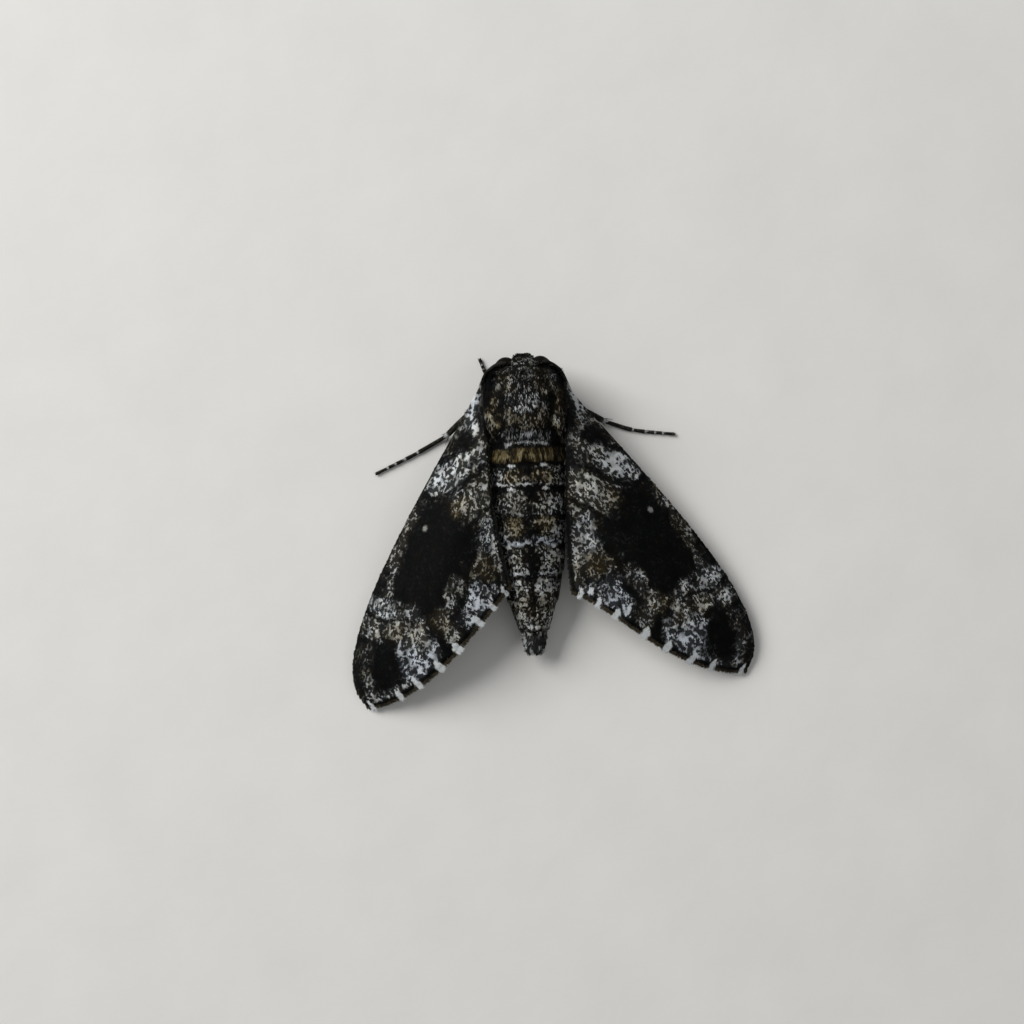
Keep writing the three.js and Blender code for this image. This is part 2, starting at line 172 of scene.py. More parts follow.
# ------------------------------------------------------------------ numbers and noise
NOISE_SIZE = 4096  # a power of two, so that one less masks a key
NOISE_TABLE = np.random.default_rng(20).random(NOISE_SIZE)
HASH_PRIMES = (73856093, 19349663, 83492791)
SEED_STEP = 7919


def mix(low, high, share):
    return low + (high - low) * share


def smooth(low, high, value):
    """0 below low, 1 above high, and an even S-curve between."""
    share = np.clip((value - low) / (high - low), 0, 1)
    return share * share * (3 - 2 * share)


def unit(vectors):
    return vectors / np.maximum(np.linalg.norm(vectors, axis=-1, keepdims=True), 1e-12)


def noise(points, cell, seed=0):
    """Smooth noise from 0 to 1, with one random value at each corner of a lattice of that cell."""
    scaled = points / cell
    base = np.floor(scaled).astype(np.int64)
    part = scaled - base
    part = part * part * (3 - 2 * part)
    total = np.zeros(len(points))
    for corner in itertools.product((0, 1), repeat=points.shape[1]):
        key = np.full(len(points), seed * SEED_STEP, dtype=np.int64)
        weight = np.ones(len(points))
        for axis, step in enumerate(corner):
            key ^= (base[:, axis] + step) * HASH_PRIMES[axis]
            weight *= part[:, axis] if step else 1 - part[:, axis]
        total += weight * NOISE_TABLE[(key ^ (key >> 13)) & (NOISE_SIZE - 1)]
    return total


def worms(points, cell, seed):
    """Squiggly strokes: 1 along the middle of a stroke, 0 between strokes."""
    shift = [noise(points, cell * 0.6, seed + axis) - 0.5 for axis in range(points.shape[1])]
    bent = points + 0.35 * cell * np.stack(shift, 1)
    return 1 - np.clip(2.0 * np.abs(2 * noise(bent, cell, seed + 7) - 1), 0, 1)


def blob(a, b, centre, size, turn=0.0, soft=0.6):
    """1 inside an ellipse, fading to 0 across its edge."""
    c, s = math.cos(math.radians(turn)), math.sin(math.radians(turn))
    da, db = a - centre[0], b - centre[1]
    return 1 - smooth(1 - soft, 1 + soft, np.hypot((da * c + db * s) / size[0], (db * c - da * s) / size[1]))


def line(a, b, points, width):
    """1 on a broken line of that width, fading to 0 beside it."""
    nearest = np.full(len(a), 99.0)
    for (a0, b0), (a1, b1) in zip(points, points[1:]):
        da, db = a1 - a0, b1 - b0
        share = np.clip(((a - a0) * da + (b - b0) * db) / (da * da + db * db), 0, 1)
        nearest = np.minimum(nearest, np.hypot(a - a0 - share * da, b - b0 - share * db))
    return 1 - smooth(0.5 * width, 1.1 * width, nearest)


# ------------------------------------------------------------------ markings
# A marking is (centre, half size, turn in degrees, strength, warmth): warmth 1 is ochre, 0 grey
# and -1 lilac, which is partly the scales' own cool tint and partly painted reflection of a blue sky. The
# forewing's places are along its chord from the root and across it.
WING_PALE = (
    ((-0.4, 0.2), (3.2, 0.8), -6, 0.97, -0.1),
    ((2.6, -1.2), (2.0, 0.8), -33, 0.75, 0.0),
    ((5.5, 1.2), (3.5, 0.9), 10, 0.22, 0.3),
    ((4.5, -2.8), (2.6, 0.8), -30, 0.3, 0.4),
    ((12.4, 0.8), (3.2, 1.6), 14, 0.88, -0.1),
    ((14.6, 2.4), (1.6, 1.0), 20, 0.3, 0.0),
    ((15.4, 0.0), (1.4, 1.3), 20, 0.6, 0.0),
    ((9.0, -1.6), (2.8, 1.2), 28, 0.75, 0.1),
    ((6.2, -3.3), (1.9, 1.0), 18, 0.55, 0.2),
    ((12.8, -1.8), (2.8, 1.1), 5, 0.7, 0.0),
    ((13.8, -6.3), (4.6, 2.3), -8, 0.5, 0.25),
    ((16.6, -4.0), (1.8, 1.6), 40, 0.38, 0.7),
    ((10.4, -5.9), (2.2, 1.6), -20, 0.25, 0.2),
    ((8.0, -4.8), (1.3, 0.8), -20, 0.42, 0.0),
    ((12.5, -8.6), (3.4, 1.3), -30, 0.3, 0.4),
    ((17.0, -9.2), (1.8, 1.2), -30, 0.36, 0.0),
    ((19.4, -10.8), (2.6, 1.6), -30, 0.52, -0.2),
    ((21.5, -10.4), (2.2, 0.9), 0, 0.32, 0.0),
    ((20.6, -12.9), (3.0, 1.6), -40, 0.38, 0.0),
    ((22.5, -14.4), (3.2, 1.3), -32, 0.42, 0.3),
    ((24.6, -12.4), (2.4, 2.0), -30, 0.34, 0.75),
    ((25.5, -16.2), (2.2, 1.0), -32, 0.33, 0.2),
    ((22.6, 3.6), (3.2, 0.9), 6, 0.42, 0.25),
    ((28.6, 3.6), (2.8, 1.3), 0, 0.38, 0.3),
    ((34.0, 2.9), (1.8, 0.9), 0, 0.4, 0.1),
    ((31.5, -7.8), (5.4, 1.6), -5, 0.34, 0.1),
    ((27.0, -9.8), (3.0, 1.1), 0, 0.24, 0.4),
    ((36.3, -7.3), (1.7, 1.6), -10, 0.42, 0.7),
    ((37.8, -10.0), (2.4, 1.3), -15, 0.42, 0.2),
    ((41.6, -7.4), (2.2, 1.3), -20, 0.52, -0.3),
    ((38.1, 3.0), (1.6, 2.8), 8, 0.7, -0.15),
    ((42.3, 3.6), (2.1, 1.9), -10, 0.64, 0.1),
    ((37.4, -1.4), (1.7, 2.6), 10, 0.62, 0.0),
    ((40.8, -0.9), (1.9, 1.9), 0, 0.64, 0.4),
    ((40.6, -4.6), (2.3, 1.5), -10, 0.9, 0.4),
    ((43.4, -2.8), (1.6, 1.1), -30, 0.55, -0.2),
    ((45.5, -5.4), (3.9, 2.0), -30, 0.97, -0.45),
    ((48.0, -6.8), (2.0, 1.3), -35, 0.95, -0.3),
    ((43.8, -7.8), (1.4, 1.2), -30, 0.65, -0.3),
    ((50.8, -4.2), (1.8, 1.0), 35, 0.65, -0.1),
    ((51.2, 1.0), (1.2, 0.8), 60, 0.45, 0.0),
    ((49.0, 2.8), (5.0, 1.7), -14, 0.16, 0.2),
    ((53.2, -0.6), (1.5, 1.4), 40, 0.4, 0.0),
    ((53.4, -2.2), (1.3, 0.8), 50, 0.5, 0.0),
    # The hind corner's patches below are partly the wing's own pale marks and partly painted sheen: they are
    # made paler and wider where that corner catches the light.
    ((31.6, -12.4), (3.6, 2.1), -12, 0.95, -0.4),
    ((34.6, -13.0), (1.6, 1.3), -30, 0.65, -0.3),
    ((29.2, -14.8), (2.2, 1.4), -25, 0.88, -0.2),
    ((31.6, -15.2), (1.5, 0.9), -28, 0.7, -0.2),
    ((27.9, -16.6), (1.3, 1.0), 30, 0.88, -0.1),
)
WING_DARK = (
    ((6.6, 0.4), (3.8, 0.8), 8, 0.6),
    ((26.0, -1.6), (9.2, 4.4), -4, 1.0),
    ((24.5, -6.2), (6.0, 2.0), 8, 0.95),
    ((32.5, -4.2), (3.4, 2.2), -8, 0.9),
    ((32.5, 0.2), (3.6, 2.2), 0, 0.85),
    ((33.4, 5.9), (3.6, 1.0), 3, 0.8),
    ((47.4, 0.0), (4.2, 2.1), -14, 0.92),
    ((41.0, -9.4), (2.4, 1.0), -22, 0.8),
    ((38.8, -6.7), (0.9, 0.9), 20, 0.4),
    ((25.5, -9.0), (2.6, 0.8), -6, 0.6),
)
WING_LINES = (
    (((16.8, 3.4), (16.6, -0.4), (12.4, -3.2), (8.0, -5.4)), 0.7),
    (((11.4, 3.8), (9.6, 1.6), (8.6, -0.2)), 0.5),
    (((40.0, 5.9), (39.9, 2.8), (39.2, 0.0), (38.6, -3.0)), 0.3),
    (((44.8, 5.4), (43.8, 1.0), (43.0, -1.2)), 0.6),
    (((18.0, -7.4), (15.6, -8.0), (13.0, -10.2)), 0.6),
    (((27.0, -12.8), (28.6, -14.6), (30.4, -16.2)), 0.4),
    (((23.0, -9.0), (26.5, -8.6), (31.0, -9.9), (35.0, -9.4)), 0.7),
)
DISCAL_SPOT = ((22.2, 0.7), (0.62, 0.42), 10)
FRINGE_SPOTS = (  # (t, half width in t)
    (0.025, 0.011), (0.165, 0.014), (0.27, 0.016), (0.4, 0.018),
    (0.523, 0.023), (0.695, 0.019), (0.81, 0.017), (0.935, 0.015),
)

# On the body a place is (distance from the middle line, place along the body).
BODY_PALE = (
    ((0.0, 3.2), (2.6, 2.4), 0, 0.08, 0.1),
    ((3.0, 3.2), (1.3, 1.8), 0, 0.26, 0.5),
    ((1.6, 6.6), (2.4, 0.9), 0, 0.24, 0.2),
    ((0.0, 0.2), (3.6, 0.9), 0, 0.24, -0.2),
    ((0.9, -1.3), (0.9, 0.8), 0, 0.5, -0.1),
    ((3.1, -1.9), (1.3, 0.9), 20, 0.26, 0.4),
    ((5.3, -0.4), (0.8, 2.2), 0, 0.42, 0.7),
    ((5.0, -3.2), (0.6, 1.2), 0, 0.6, 0.7),
    ((0.0, -3.4), (3.2, 0.8), 0, 0.1, 0.8),
    ((0.0, -5.8), (3.6, 0.9), 0, 0.1, -0.2),
    ((6.3, -4.6), (0.9, 2.4), 0, 0.35, 0.4),
    ((0.0, -9.1), (5.6, 1.0), 0, 0.55, 1.0),
    ((2.6, -12.8), (1.7, 0.9), 0, 0.36, 0.8),
    ((5.2, -12.8), (1.1, 1.2), 0, 0.36, 0.0),
    ((2.8, -17.2), (2.2, 1.5), 0, 0.38, 0.3),
    ((4.6, -18.2), (1.4, 1.0), 0, 0.38, -0.1),
    ((2.9, -21.4), (1.5, 1.4), 0, 0.4, 0.8),
    ((4.6, -22.6), (1.3, 1.2), 0, 0.42, 0.0),
    ((2.0, -24.1), (3.6, 0.45), 0, 0.55, -0.5),
    ((2.8, -27.2), (2.2, 1.8), 0, 0.42, 0.2),
    ((2.2, -29.5), (2.6, 0.45), 0, 0.4, -0.2),
    ((2.0, -32.2), (1.8, 1.6), 0, 0.42, 0.15),
    ((2.2, -35.5), (2.4, 2.6), 0, 0.4, 0.4),
    ((1.6, -38.0), (2.2, 1.6), 0, 0.46, 0.2),
)
BODY_DARK = (
    ((0.1, -11.2), (1.1, 1.4), 0, 0.7),
    ((0.1, -17.0), (0.9, 1.4), 0, 0.9),
    ((0.2, -21.4), (1.1, 2.0), 0, 0.95),
    ((0.3, -27.2), (1.0, 1.7), 0, 0.9),
    ((5.2, -21.0), (0.8, 1.2), 0, 0.5),
    ((3.6, -19.9), (1.6, 0.5), 0, 0.4),
    ((0.3, 5.4), (1.2, 0.8), 0, 0.6),
    ((0.0, 8.2), (2.6, 0.9), 0, 0.75),
)
BODY_LINES = (
    (((3.5, 5.6), (2.9, 4.0), (3.9, 1.4), (4.2, -0.4), (4.1, -4.4)), 0.8),
    (((4.7, -4.4), (4.7, -7.6)), 0.8),
    (((0.0, -7.7), (6.0, -7.7)), 0.5),
    (((0.0, -8.2), (0.0, -10.3)), 0.4),
    (((0.0, -10.7), (6.4, -10.7)), 0.6),
    (((0.0, -12.0), (0.0, -14.0)), 0.6),
    (((0.0, -14.9), (6.4, -14.9)), 0.8),
    (((0.1, -30.0), (0.1, -36.8)), 0.65),
)
BODY_SPOTS = (  # (place, half size): small white spots
    ((2.75, -11.0), (0.66, 0.3)), ((2.9, -15.0), (0.66, 0.28)), ((3.9, -24.9), (0.55, 0.36)),
    ((2.3, -30.9), (0.38, 0.3)), ((0.5, -39.2), (0.4, 0.45)),
)


def painted(a, b, ground, pale_marks, dark_marks, dark_lines, mirror=False):
    """How pale the marking is at each place, from 0 to 1, and how warm."""
    places = np.stack([a, b], 1)
    near = np.abs(a) if mirror else a
    a_bent = near + 0.9 * (noise(places, 1.7, 1) - 0.5) + 0.5 * (noise(places, 0.6, 2) - 0.5)
    b_bent = b + 0.9 * (noise(places, 1.7, 3) - 0.5)
    a_torn = a_bent + 2.3 * (noise(places, 0.8, 4) - 0.5)
    b_torn = b_bent + 2.3 * (noise(places, 0.8, 6) - 0.5)
    level, warmth, weight = ground.copy(), np.zeros(len(a)), np.full(len(a), 0.05)
    for centre, size, turn, strength, warm in pale_marks:
        mark = blob(a_bent, b_bent, centre, size, turn) * strength
        level += mark * (1 - level)
        warmth += warm * mark
        weight += mark
    for centre, size, turn, strength in dark_marks:
        level *= 1 - strength * blob(a_torn, b_torn, centre, size, turn, 0.35)
    for points, width in dark_lines:
        level *= 1 - 0.75 * line(a_bent, b_bent, points, width)
    return level, warmth / weight


def flecked(places, level, warmth, cell, fill):
    """Pale scales gather in squiggly strokes, which are paler and wider where level is high.
    fill is how pale the gaps between the strokes are."""
    turned = places.copy()
    turned[:, 0] = 0.8 * places[:, 0] + 0.6 * places[:, 1]
    turned[:, 1] = 0.8 * places[:, 1] - 0.6 * places[:, 0]
    stroke = 0.86 * worms(places, cell, 30) + 0.14 * noise(places, 0.2, 50)
    tone = np.clip(level * (1 + 0.8 * (noise(turned, 1.5, 90) - 0.5) * (1.4 - level)), 0, 1)
    cut = 0.8 - 0.56 * tone
    shade = (0.65 + 0.7 * noise(places, 0.7, 91)) * mix(0.42, 1.0, tone) * smooth(0.0, 0.22, tone)
    pale = mix(fill * tone, shade, smooth(cut - 0.08, cut + 0.16, stroke))
    return np.clip(pale, 0, 1), warmth + 0.5 * (noise(turned, 0.7, 70) - 0.5)


def wing_marks(flat, share, shift):
    """The forewing's upper side. flat is the place in the wing's own plane, share its (r, t), and
    shift moves the flecks."""
    a, b = flat[:, 0], flat[:, 1]
    level, warmth = painted(a, b, np.full(len(a), 0.1), WING_PALE, WING_DARK, WING_LINES)
    level = np.maximum(level, 0.035)
    level *= 1 - 0.9 * smooth(0.953, 0.966, share[:, 0])
    level *= 1 - 0.8 * smooth(0.972, 0.985, share[:, 1])
    level *= 1 - 0.5 * vein_relief(share[:, 0], share[:, 1]) * smooth(0.5, 0.7, share[:, 0])
    pale, warmth = flecked(flat * (0.75, 1.0) + (0.0, shift), level, warmth, 0.46, 0.2)
    spots = fringe_spots(share)
    pale, warmth = np.maximum(pale, 0.97 * spots), warmth * (1 - spots)
    centre, size, turn = DISCAL_SPOT
    return np.maximum(pale, 0.6 * blob(a, b, centre, size, turn, 0.3)), warmth


def fringe_spots(share):
    """1 at the white spots of the outer edge, which narrow inwards to a point."""
    inward = np.clip((share[:, 0] - 0.928) / 0.035, 0.01, 1.0)
    spots = [1 - smooth(0.7 * half * inward, 1.2 * half * inward, np.abs(share[:, 1] - place))
             for place, half in FRINGE_SPOTS]
    return np.max(spots, axis=0) * smooth(0.93, 0.935, share[:, 0])


def fringe_marks(flat, share):
    """The fringe is umber, with white spots, and black along the hind edge."""
    spots = fringe_spots(share)
    hind = smooth(WING_EDGE - 0.02, WING_EDGE - 0.03, share[:, 0])
    ground = (0.04 + 0.2 * noise(flat, 0.4, 61)) * (1 - 0.6 * hind)
    return np.maximum(0.97 * spots, ground), mix(0.6 * (1 - hind), 0.0, spots)


def body_marks(points, normals):
    """Head, thorax and abdomen from above; the flanks and belly are plainer."""
    x, y, z = points.T
    middle = np.abs(x)
    ground = np.where(y < -8, 0.22, mix(0.22, 0.12, smooth(4.2, 5.6, middle)))
    level, warmth = painted(x, y, ground, BODY_PALE, BODY_DARK, BODY_LINES, mirror=True)
    brim = smooth(0.86, 1.0, np.hypot(middle / 6.0, np.maximum(y - 1.5, 0) / 6.6))
    level *= 1 - 0.8 * brim * smooth(-2.0, 0.0, y) * smooth(4.0, 7.0, z)
    ragged = 0.3 * (noise(points, 0.7, 15) - 0.5)
    broken = smooth(0.25, 0.6, noise(points, 1.1, 16))
    for end, strength in zip(RING_ENDS, (0.0, 0.85, 0.45, 0.55, 0.5, 0.4, 0.8)):
        rim = 1 - smooth(0.12, 0.38, np.abs(y - end - 0.15 + ragged))
        gap = smooth(0.2, 0.45, end - y) * (1 - smooth(0.75, 1.1, end - y))
        level += strength * rim * broken * (1 - level)
        level *= 1 - 0.5 * gap
    shawl = 1 - smooth(0.1, 0.34, np.abs(y - SHAWL_EDGE + 0.03 * middle**2 + ragged))
    level += 0.9 * shawl * smooth(4.0, 3.2, middle) * (1 - level)
    belly = smooth(0.1, -0.45, normals[:, 2])
    combed = points.copy()
    combed[:, 1] = np.where(y > WAIST, 0.65, 0.9) * y
    pale, warmth = flecked(combed, mix(level, 0.42, belly), mix(warmth + 0.05, 0.35, belly), 0.42, 0.1)
    for centre, size in BODY_SPOTS:
        pale = np.maximum(pale, 0.95 * blob(middle, y + 0.5 * ragged, centre, size, 0.0, 0.3))
    slant = x + 0.2 * np.sign(x) * (y + 9.0)
    streaks = smooth(0.2, 0.6, worms(np.stack([slant, 0.25 * y], 1), 0.36, 77))
    banded = smooth(-7.6, -8.2, y) * smooth(-10.3, -9.9, y)
    tail = smooth(TAIL_ROOT, TAIL_ROOT - 0.5, y)
    pale = mix(pale, level * streaks, 0.85 * banded)
    pale = np.maximum(pale, 0.7 * shawl * smooth(4.0, 3.2, middle) * broken)
    brush = smooth(0.54, 0.68, noise(np.stack([x, z, 0.1 * y], 1), 0.4, 78))
    pale = mix(pale, 0.1 + 0.65 * brush, tail)
    return np.clip(pale, 0, 1), warmth * (1 - 0.7 * tail)


# ------------------------------------------------------------------ mesh tools
def bezier(points, share):
    share = np.asarray(share)[..., None]
    p0, p1, p2, p3 = (np.array(p, float) for p in points)
    rest = 1 - share
    return rest**3 * p0 + 3 * rest**2 * share * p1 + 3 * rest * share**2 * p2 + share**3 * p3


def spline(points, count):
    """Evenly spaced points on a smooth curve through the given points."""
    knots = np.array(points, float)
    padded = np.vstack([2 * knots[0] - knots[1], knots, 2 * knots[-1] - knots[-2]])
    fine = []
    between = 40
    for p0, p1, p2, p3 in zip(padded, padded[1:], padded[2:], padded[3:]):
        s = np.linspace(0, 1, between, endpoint=False)[:, None]
        fine.append(0.5 * (2 * p1 + (p2 - p0) * s + (2 * p0 - 5 * p1 + 4 * p2 - p3) * s**2
                           + (3 * p1 - p0 - 3 * p2 + p3) * s**3))
    fine = np.vstack(fine + [knots[-1:]])
    length = np.concatenate([[0], np.cumsum(np.linalg.norm(np.diff(fine, axis=0), axis=1))])
    even = np.linspace(0, length[-1], count)
    return np.stack([np.interp(even, length, fine[:, axis]) for axis in range(3)], 1)


def build(name, points, faces, marks=None, material=None):
    """A mesh object from points in the moth's millimetres, riding on the one body."""
    mesh = bpy.data.meshes.new(name)
    mesh.from_pydata((points * MM + ORIGIN).tolist(), [], [tuple(face) for face in faces])
    mesh.polygons.foreach_set("use_smooth", np.ones(len(mesh.polygons), bool))
    if marks is not None:
        mark_points(mesh, marks)
    return dress(bpy.data.objects.new(name, mesh), material)


def mark_points(mesh, marks):
    for name, values in zip(("pale", "warm"), marks):
        layer = mesh.attributes.new(name, "FLOAT", "POINT")
        layer.data.foreach_set("value", values.astype(np.float32))


def dress(piece, material):
    if piece.name not in bpy.context.scene.collection.objects:
        bpy.context.scene.collection.objects.link(piece)
    if material:
        piece.data.materials.clear()
        piece.data.materials.append(material)
    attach(piece, "root")
    return piece


def grid_faces(rows, columns, around=False):
    """Quads of a grid of points, row by row; around joins the last column to the first."""
    faces = []
    for row in range(rows - 1):
        for column in range(columns if around else columns - 1):
            after = (column + 1) % columns
            near, far = row * columns, (row + 1) * columns
            faces.append((near + column, near + after, far + after, far + column))
    return faces


def tube(path, radii, sides):
    """A closed rod along a path: (points, faces, share along it, upness from -1 to 1)."""
    path, radii = np.asarray(path, float), np.asarray(radii, float)
    ahead = unit(np.gradient(path, axis=0))
    up = np.tile([0.0, 0.0, 1.0], (len(path), 1))
    steep = np.abs(ahead[:, 2]) > 0.97
    up[steep] = (0.0, 1.0, 0.0)
    side = unit(np.cross(ahead, up))
    up = np.cross(side, ahead)
    angle = np.linspace(0, 2 * math.pi, sides, endpoint=False)
    ring = np.cos(angle)[None, :, None] * side[:, None] + np.sin(angle)[None, :, None] * up[:, None]
    points = (path[:, None] + ring * radii[:, None, None]).reshape(-1, 3)
    points = np.vstack([points, path[:1], path[-1:]])
    faces = grid_faces(len(path), sides, around=True)
    first, last = len(points) - 2, len(points) - 1
    base = (len(path) - 1) * sides
    for k in range(sides):
        after = (k + 1) % sides
        faces.append((first, after, k))
        faces.append((last, base + k, base + after))
    along = np.repeat(np.linspace(0, 1, len(path)), sides)
    top = np.tile(np.sin(angle), len(path))
    return points, faces, np.concatenate([along, [0, 1]]), np.concatenate([top, [0, 0]])


def joined(parts):
    """Several (points, faces, ...) as one, with the other values chained."""
    points, faces, rest, count = [], [], [], 0
    for part_points, part_faces, *others in parts:
        faces += [tuple(index + count for index in face) for face in part_faces]
        points.append(part_points)
        rest.append(others)
        count += len(part_points)
    return (np.vstack(points), faces, *(np.concatenate(values) for values in zip(*rest)))


# ------------------------------------------------------------------ scales
# One scale is a leaf of two quads and a tip: (share of its length, of its half width, of its lift).
LEAF = ((0.0, 0.4, -0.2), (0.42, 1.0, 0.75), (0.82, 0.78, 1.0))
LEAF_TIP_LIFT = 0.8
LEAF_POINTS = 7
LEAF_CORNERS = (0, 1, 3, 2, 2, 3, 5, 4, 4, 5, 6)
LEAF_STARTS = (0, 4, 8)
PATCH = 0.003  # side of a leaf's patch on the colour map


def scatter(points, normals, triangles, per_mm2, rng, extras=()):
    """Roots spread over a surface, with their normals and the extra values at each root."""
    corners = points[triangles]
    areas = np.linalg.norm(np.cross(corners[:, 1] - corners[:, 0], corners[:, 2] - corners[:, 0]), axis=1) / 2
    counts = rng.poisson(areas * per_mm2)
    chosen = triangles[np.repeat(np.arange(len(triangles)), counts)]
    share = rng.random((len(chosen), 2))
    over = share.sum(1) > 1
    share[over] = 1 - share[over]
    weights = np.stack([1 - share.sum(1), share[:, 0], share[:, 1]], 1)[:, :, None]
    roots = (points[chosen] * weights).sum(1)
    outward = unit((normals[chosen] * weights).sum(1))
    return (roots, outward, *((extra[chosen] * weights).sum(1) for extra in extras))


def surface_of(piece):
    """A piece's points and normals in the moth's millimetres, and its triangles."""
    mesh = piece.data
    mesh.calc_loop_triangles()
    points, normals = np.empty((2, len(mesh.vertices) * 3))
    mesh.vertices.foreach_get("co", points)
    mesh.vertices.foreach_get("normal", normals)
    triangles = np.empty(len(mesh.loop_triangles) * 3, dtype=np.int64)
    mesh.loop_triangles.foreach_get("vertices", triangles)
    return (points.reshape(-1, 3) - ORIGIN) / MM, normals.reshape(-1, 3), triangles.reshape(-1, 3)


def leaves(name, roots, outward, flow, length, width, lift, marks, unwrap, material, slot, rng, sway=0.22):
    """One mesh of thin overlapping scales, each rooted on the skin and lying along flow."""
    count = len(roots)
    flow = unit(flow - (flow * outward).sum(1, keepdims=True) * outward)
    side = np.cross(outward, flow)
    turn = (rng.normal(0, 1, count) * sway)[:, None]
    flow, side = flow * np.cos(turn) + side * np.sin(turn), side * np.cos(turn) - flow * np.sin(turn)
    length = (length * rng.uniform(0.75, 1.2, count))[:, None]
    width = (width * rng.uniform(0.75, 1.2, count))[:, None]
    lift = (lift * rng.uniform(0.5, 1.5, count))[:, None]
    points = np.empty((count, LEAF_POINTS, 3))
    spread = np.empty((count, LEAF_POINTS, 2))
    for row, (ahead, half, rise) in enumerate(LEAF):
        centre = roots + flow * length * ahead + outward * lift * rise
        for k, sign in enumerate((-1, 1)):
            points[:, 2 * row + k] = centre + side * width * half * sign / 2
            spread[:, 2 * row + k] = (sign * half / 2, ahead - 0.5)
    points[:, -1] = roots + flow * length + outward * lift * LEAF_TIP_LIFT
    spread[:, -1] = (0, 0.5)
    mesh = bpy.data.meshes.new(name)
    mesh.vertices.add(count * LEAF_POINTS)
    mesh.vertices.foreach_set("co", (points.reshape(-1, 3) * MM + ORIGIN).ravel())
    corners = (np.arange(count)[:, None] * LEAF_POINTS + np.array(LEAF_CORNERS)).ravel()
    mesh.loops.add(len(corners))
    mesh.loops.foreach_set("vertex_index", corners)
    mesh.polygons.add(count * len(LEAF_STARTS))
    starts = np.arange(count)[:, None] * len(LEAF_CORNERS) + np.array(LEAF_STARTS)
    mesh.polygons.foreach_set("loop_start", starts.ravel())
    mesh.polygons.foreach_set("use_smooth", np.ones(count * len(LEAF_STARTS), bool))
    mesh.update(calc_edges=True)
    mark_points(mesh, [np.repeat(values, LEAF_POINTS) for values in marks])
    place = unwrap[:, None] + PATCH * spread
    layer = mesh.uv_layers.new(name="OFBake")
    layer.data.foreach_set("uv", np.clip(place, 0, 1).reshape(-1, 2)[corners].ravel())
    return dress(bpy.data.objects.new(name, mesh), material)


# ------------------------------------------------------------------ materials
def node_material(name, roughness):
    material = bpy.data.materials.new(name)
    material.use_nodes = True
    nodes, links = material.node_tree.nodes, material.node_tree.links
    shader = nodes["Principled BSDF"]
    shader.inputs["Roughness"].default_value = roughness
    return material, nodes, links, shader


def ramp(nodes, links, value, stops):
    """A colour ramp over a value from 0 to 1."""
    node = nodes.new("ShaderNodeValToRGB")
    elements = node.color_ramp.elements
    while len(elements) < len(stops):
        elements.new(0.5)
    for element, (place, colour) in zip(elements, stops):
        element.position = place
        element.color = colour
    links.new(value, node.inputs["Fac"])
    return node.outputs["Color"]


def blend_colours(nodes, links, share, first, second):
    node = nodes.new("ShaderNodeMix")
    node.data_type = "RGBA"
    links.new(share, node.inputs["Factor"])
    links.new(first, node.inputs["A"])
    links.new(second, node.inputs["B"])
    return node.outputs["Result"]


def attribute(nodes, name):
    node = nodes.new("ShaderNodeAttribute")
    node.attribute_name = name
    return node.outputs["Fac"]


def maths(nodes, links, operation, first, second):
    """The operation's result, clamped to 0..1."""
    node = nodes.new("ShaderNodeMath")
    node.operation = operation
    node.use_clamp = True
    for socket, value in zip(node.inputs, (first, second)):
        if isinstance(value, (int, float)):
            socket.default_value = value
        else:
            links.new(value, socket)
    return node.outputs["Value"]


def texture(nodes, links, kind, scale, **settings):
    """A noise or cell texture in metres of the object's own space."""
    place = nodes.new("ShaderNodeTexCoord")
    node = nodes.new(kind)
    node.inputs["Scale"].default_value = scale
    for name, value in settings.items():
        node.inputs[name.replace("_", " ").title()].default_value = value
    links.new(place.outputs["Object"], node.inputs["Vector"])
    return node


def bump(nodes, links, shader, height, depth):
    node = nodes.new("ShaderNodeBump")
    node.inputs["Strength"].default_value = 1.0
    node.inputs["Distance"].default_value = depth
    links.new(height, node.inputs["Height"])
    links.new(node.outputs["Normal"], shader.inputs["Normal"])


def scale_material(name, colours, roughness=0.55, relief=0.00002, grain=9000.0):
    """Scales coloured by the marks they carry: pale is how light, warm how yellow or lilac; the lilac is
    partly painted reflection of a blue sky.
    """
    material, nodes, links, shader = node_material(name, roughness)
    shader.inputs["Specular IOR Level"].default_value = 0.02
    mottle = texture(nodes, links, "ShaderNodeTexNoise", grain, detail=2.0)
    shade = maths(nodes, links, "MULTIPLY", mottle.outputs["Fac"], 0.5)
    shade = maths(nodes, links, "ADD", shade, 0.72)
    pale = maths(nodes, links, "MULTIPLY", attribute(nodes, "pale"), shade)
    # Each result is clamped to 0..1, so cool and warm each keep one sign of the mark.
    warm = attribute(nodes, "warm")
    cool = maths(nodes, links, "MULTIPLY", warm, -1.0)
    warm = maths(nodes, links, "MULTIPLY", warm, 1.0)
    neutral = ramp(nodes, links, pale, ((0, colours.black), (0.45, colours.grey), (1, colours.white)))
    yellow = ramp(nodes, links, pale, ((0, colours.umber), (0.45, colours.ochre), (1, colours.cream)))
    # The cool ramp's palest colour is partly painted reflection of a blue sky.
    violet_and_sky_sheen = ramp(nodes, links, pale, ((0, colours.black), (0.45, colours.slate), (1, colours.lilac_and_sky_sheen)))
    colour = blend_colours(nodes, links, warm, neutral, yellow)
    colour = blend_colours(nodes, links, cool, colour, violet_and_sky_sheen)
    links.new(colour, shader.inputs["Base Color"])
    bump(nodes, links, shader, mottle.outputs["Fac"], relief)
    return material


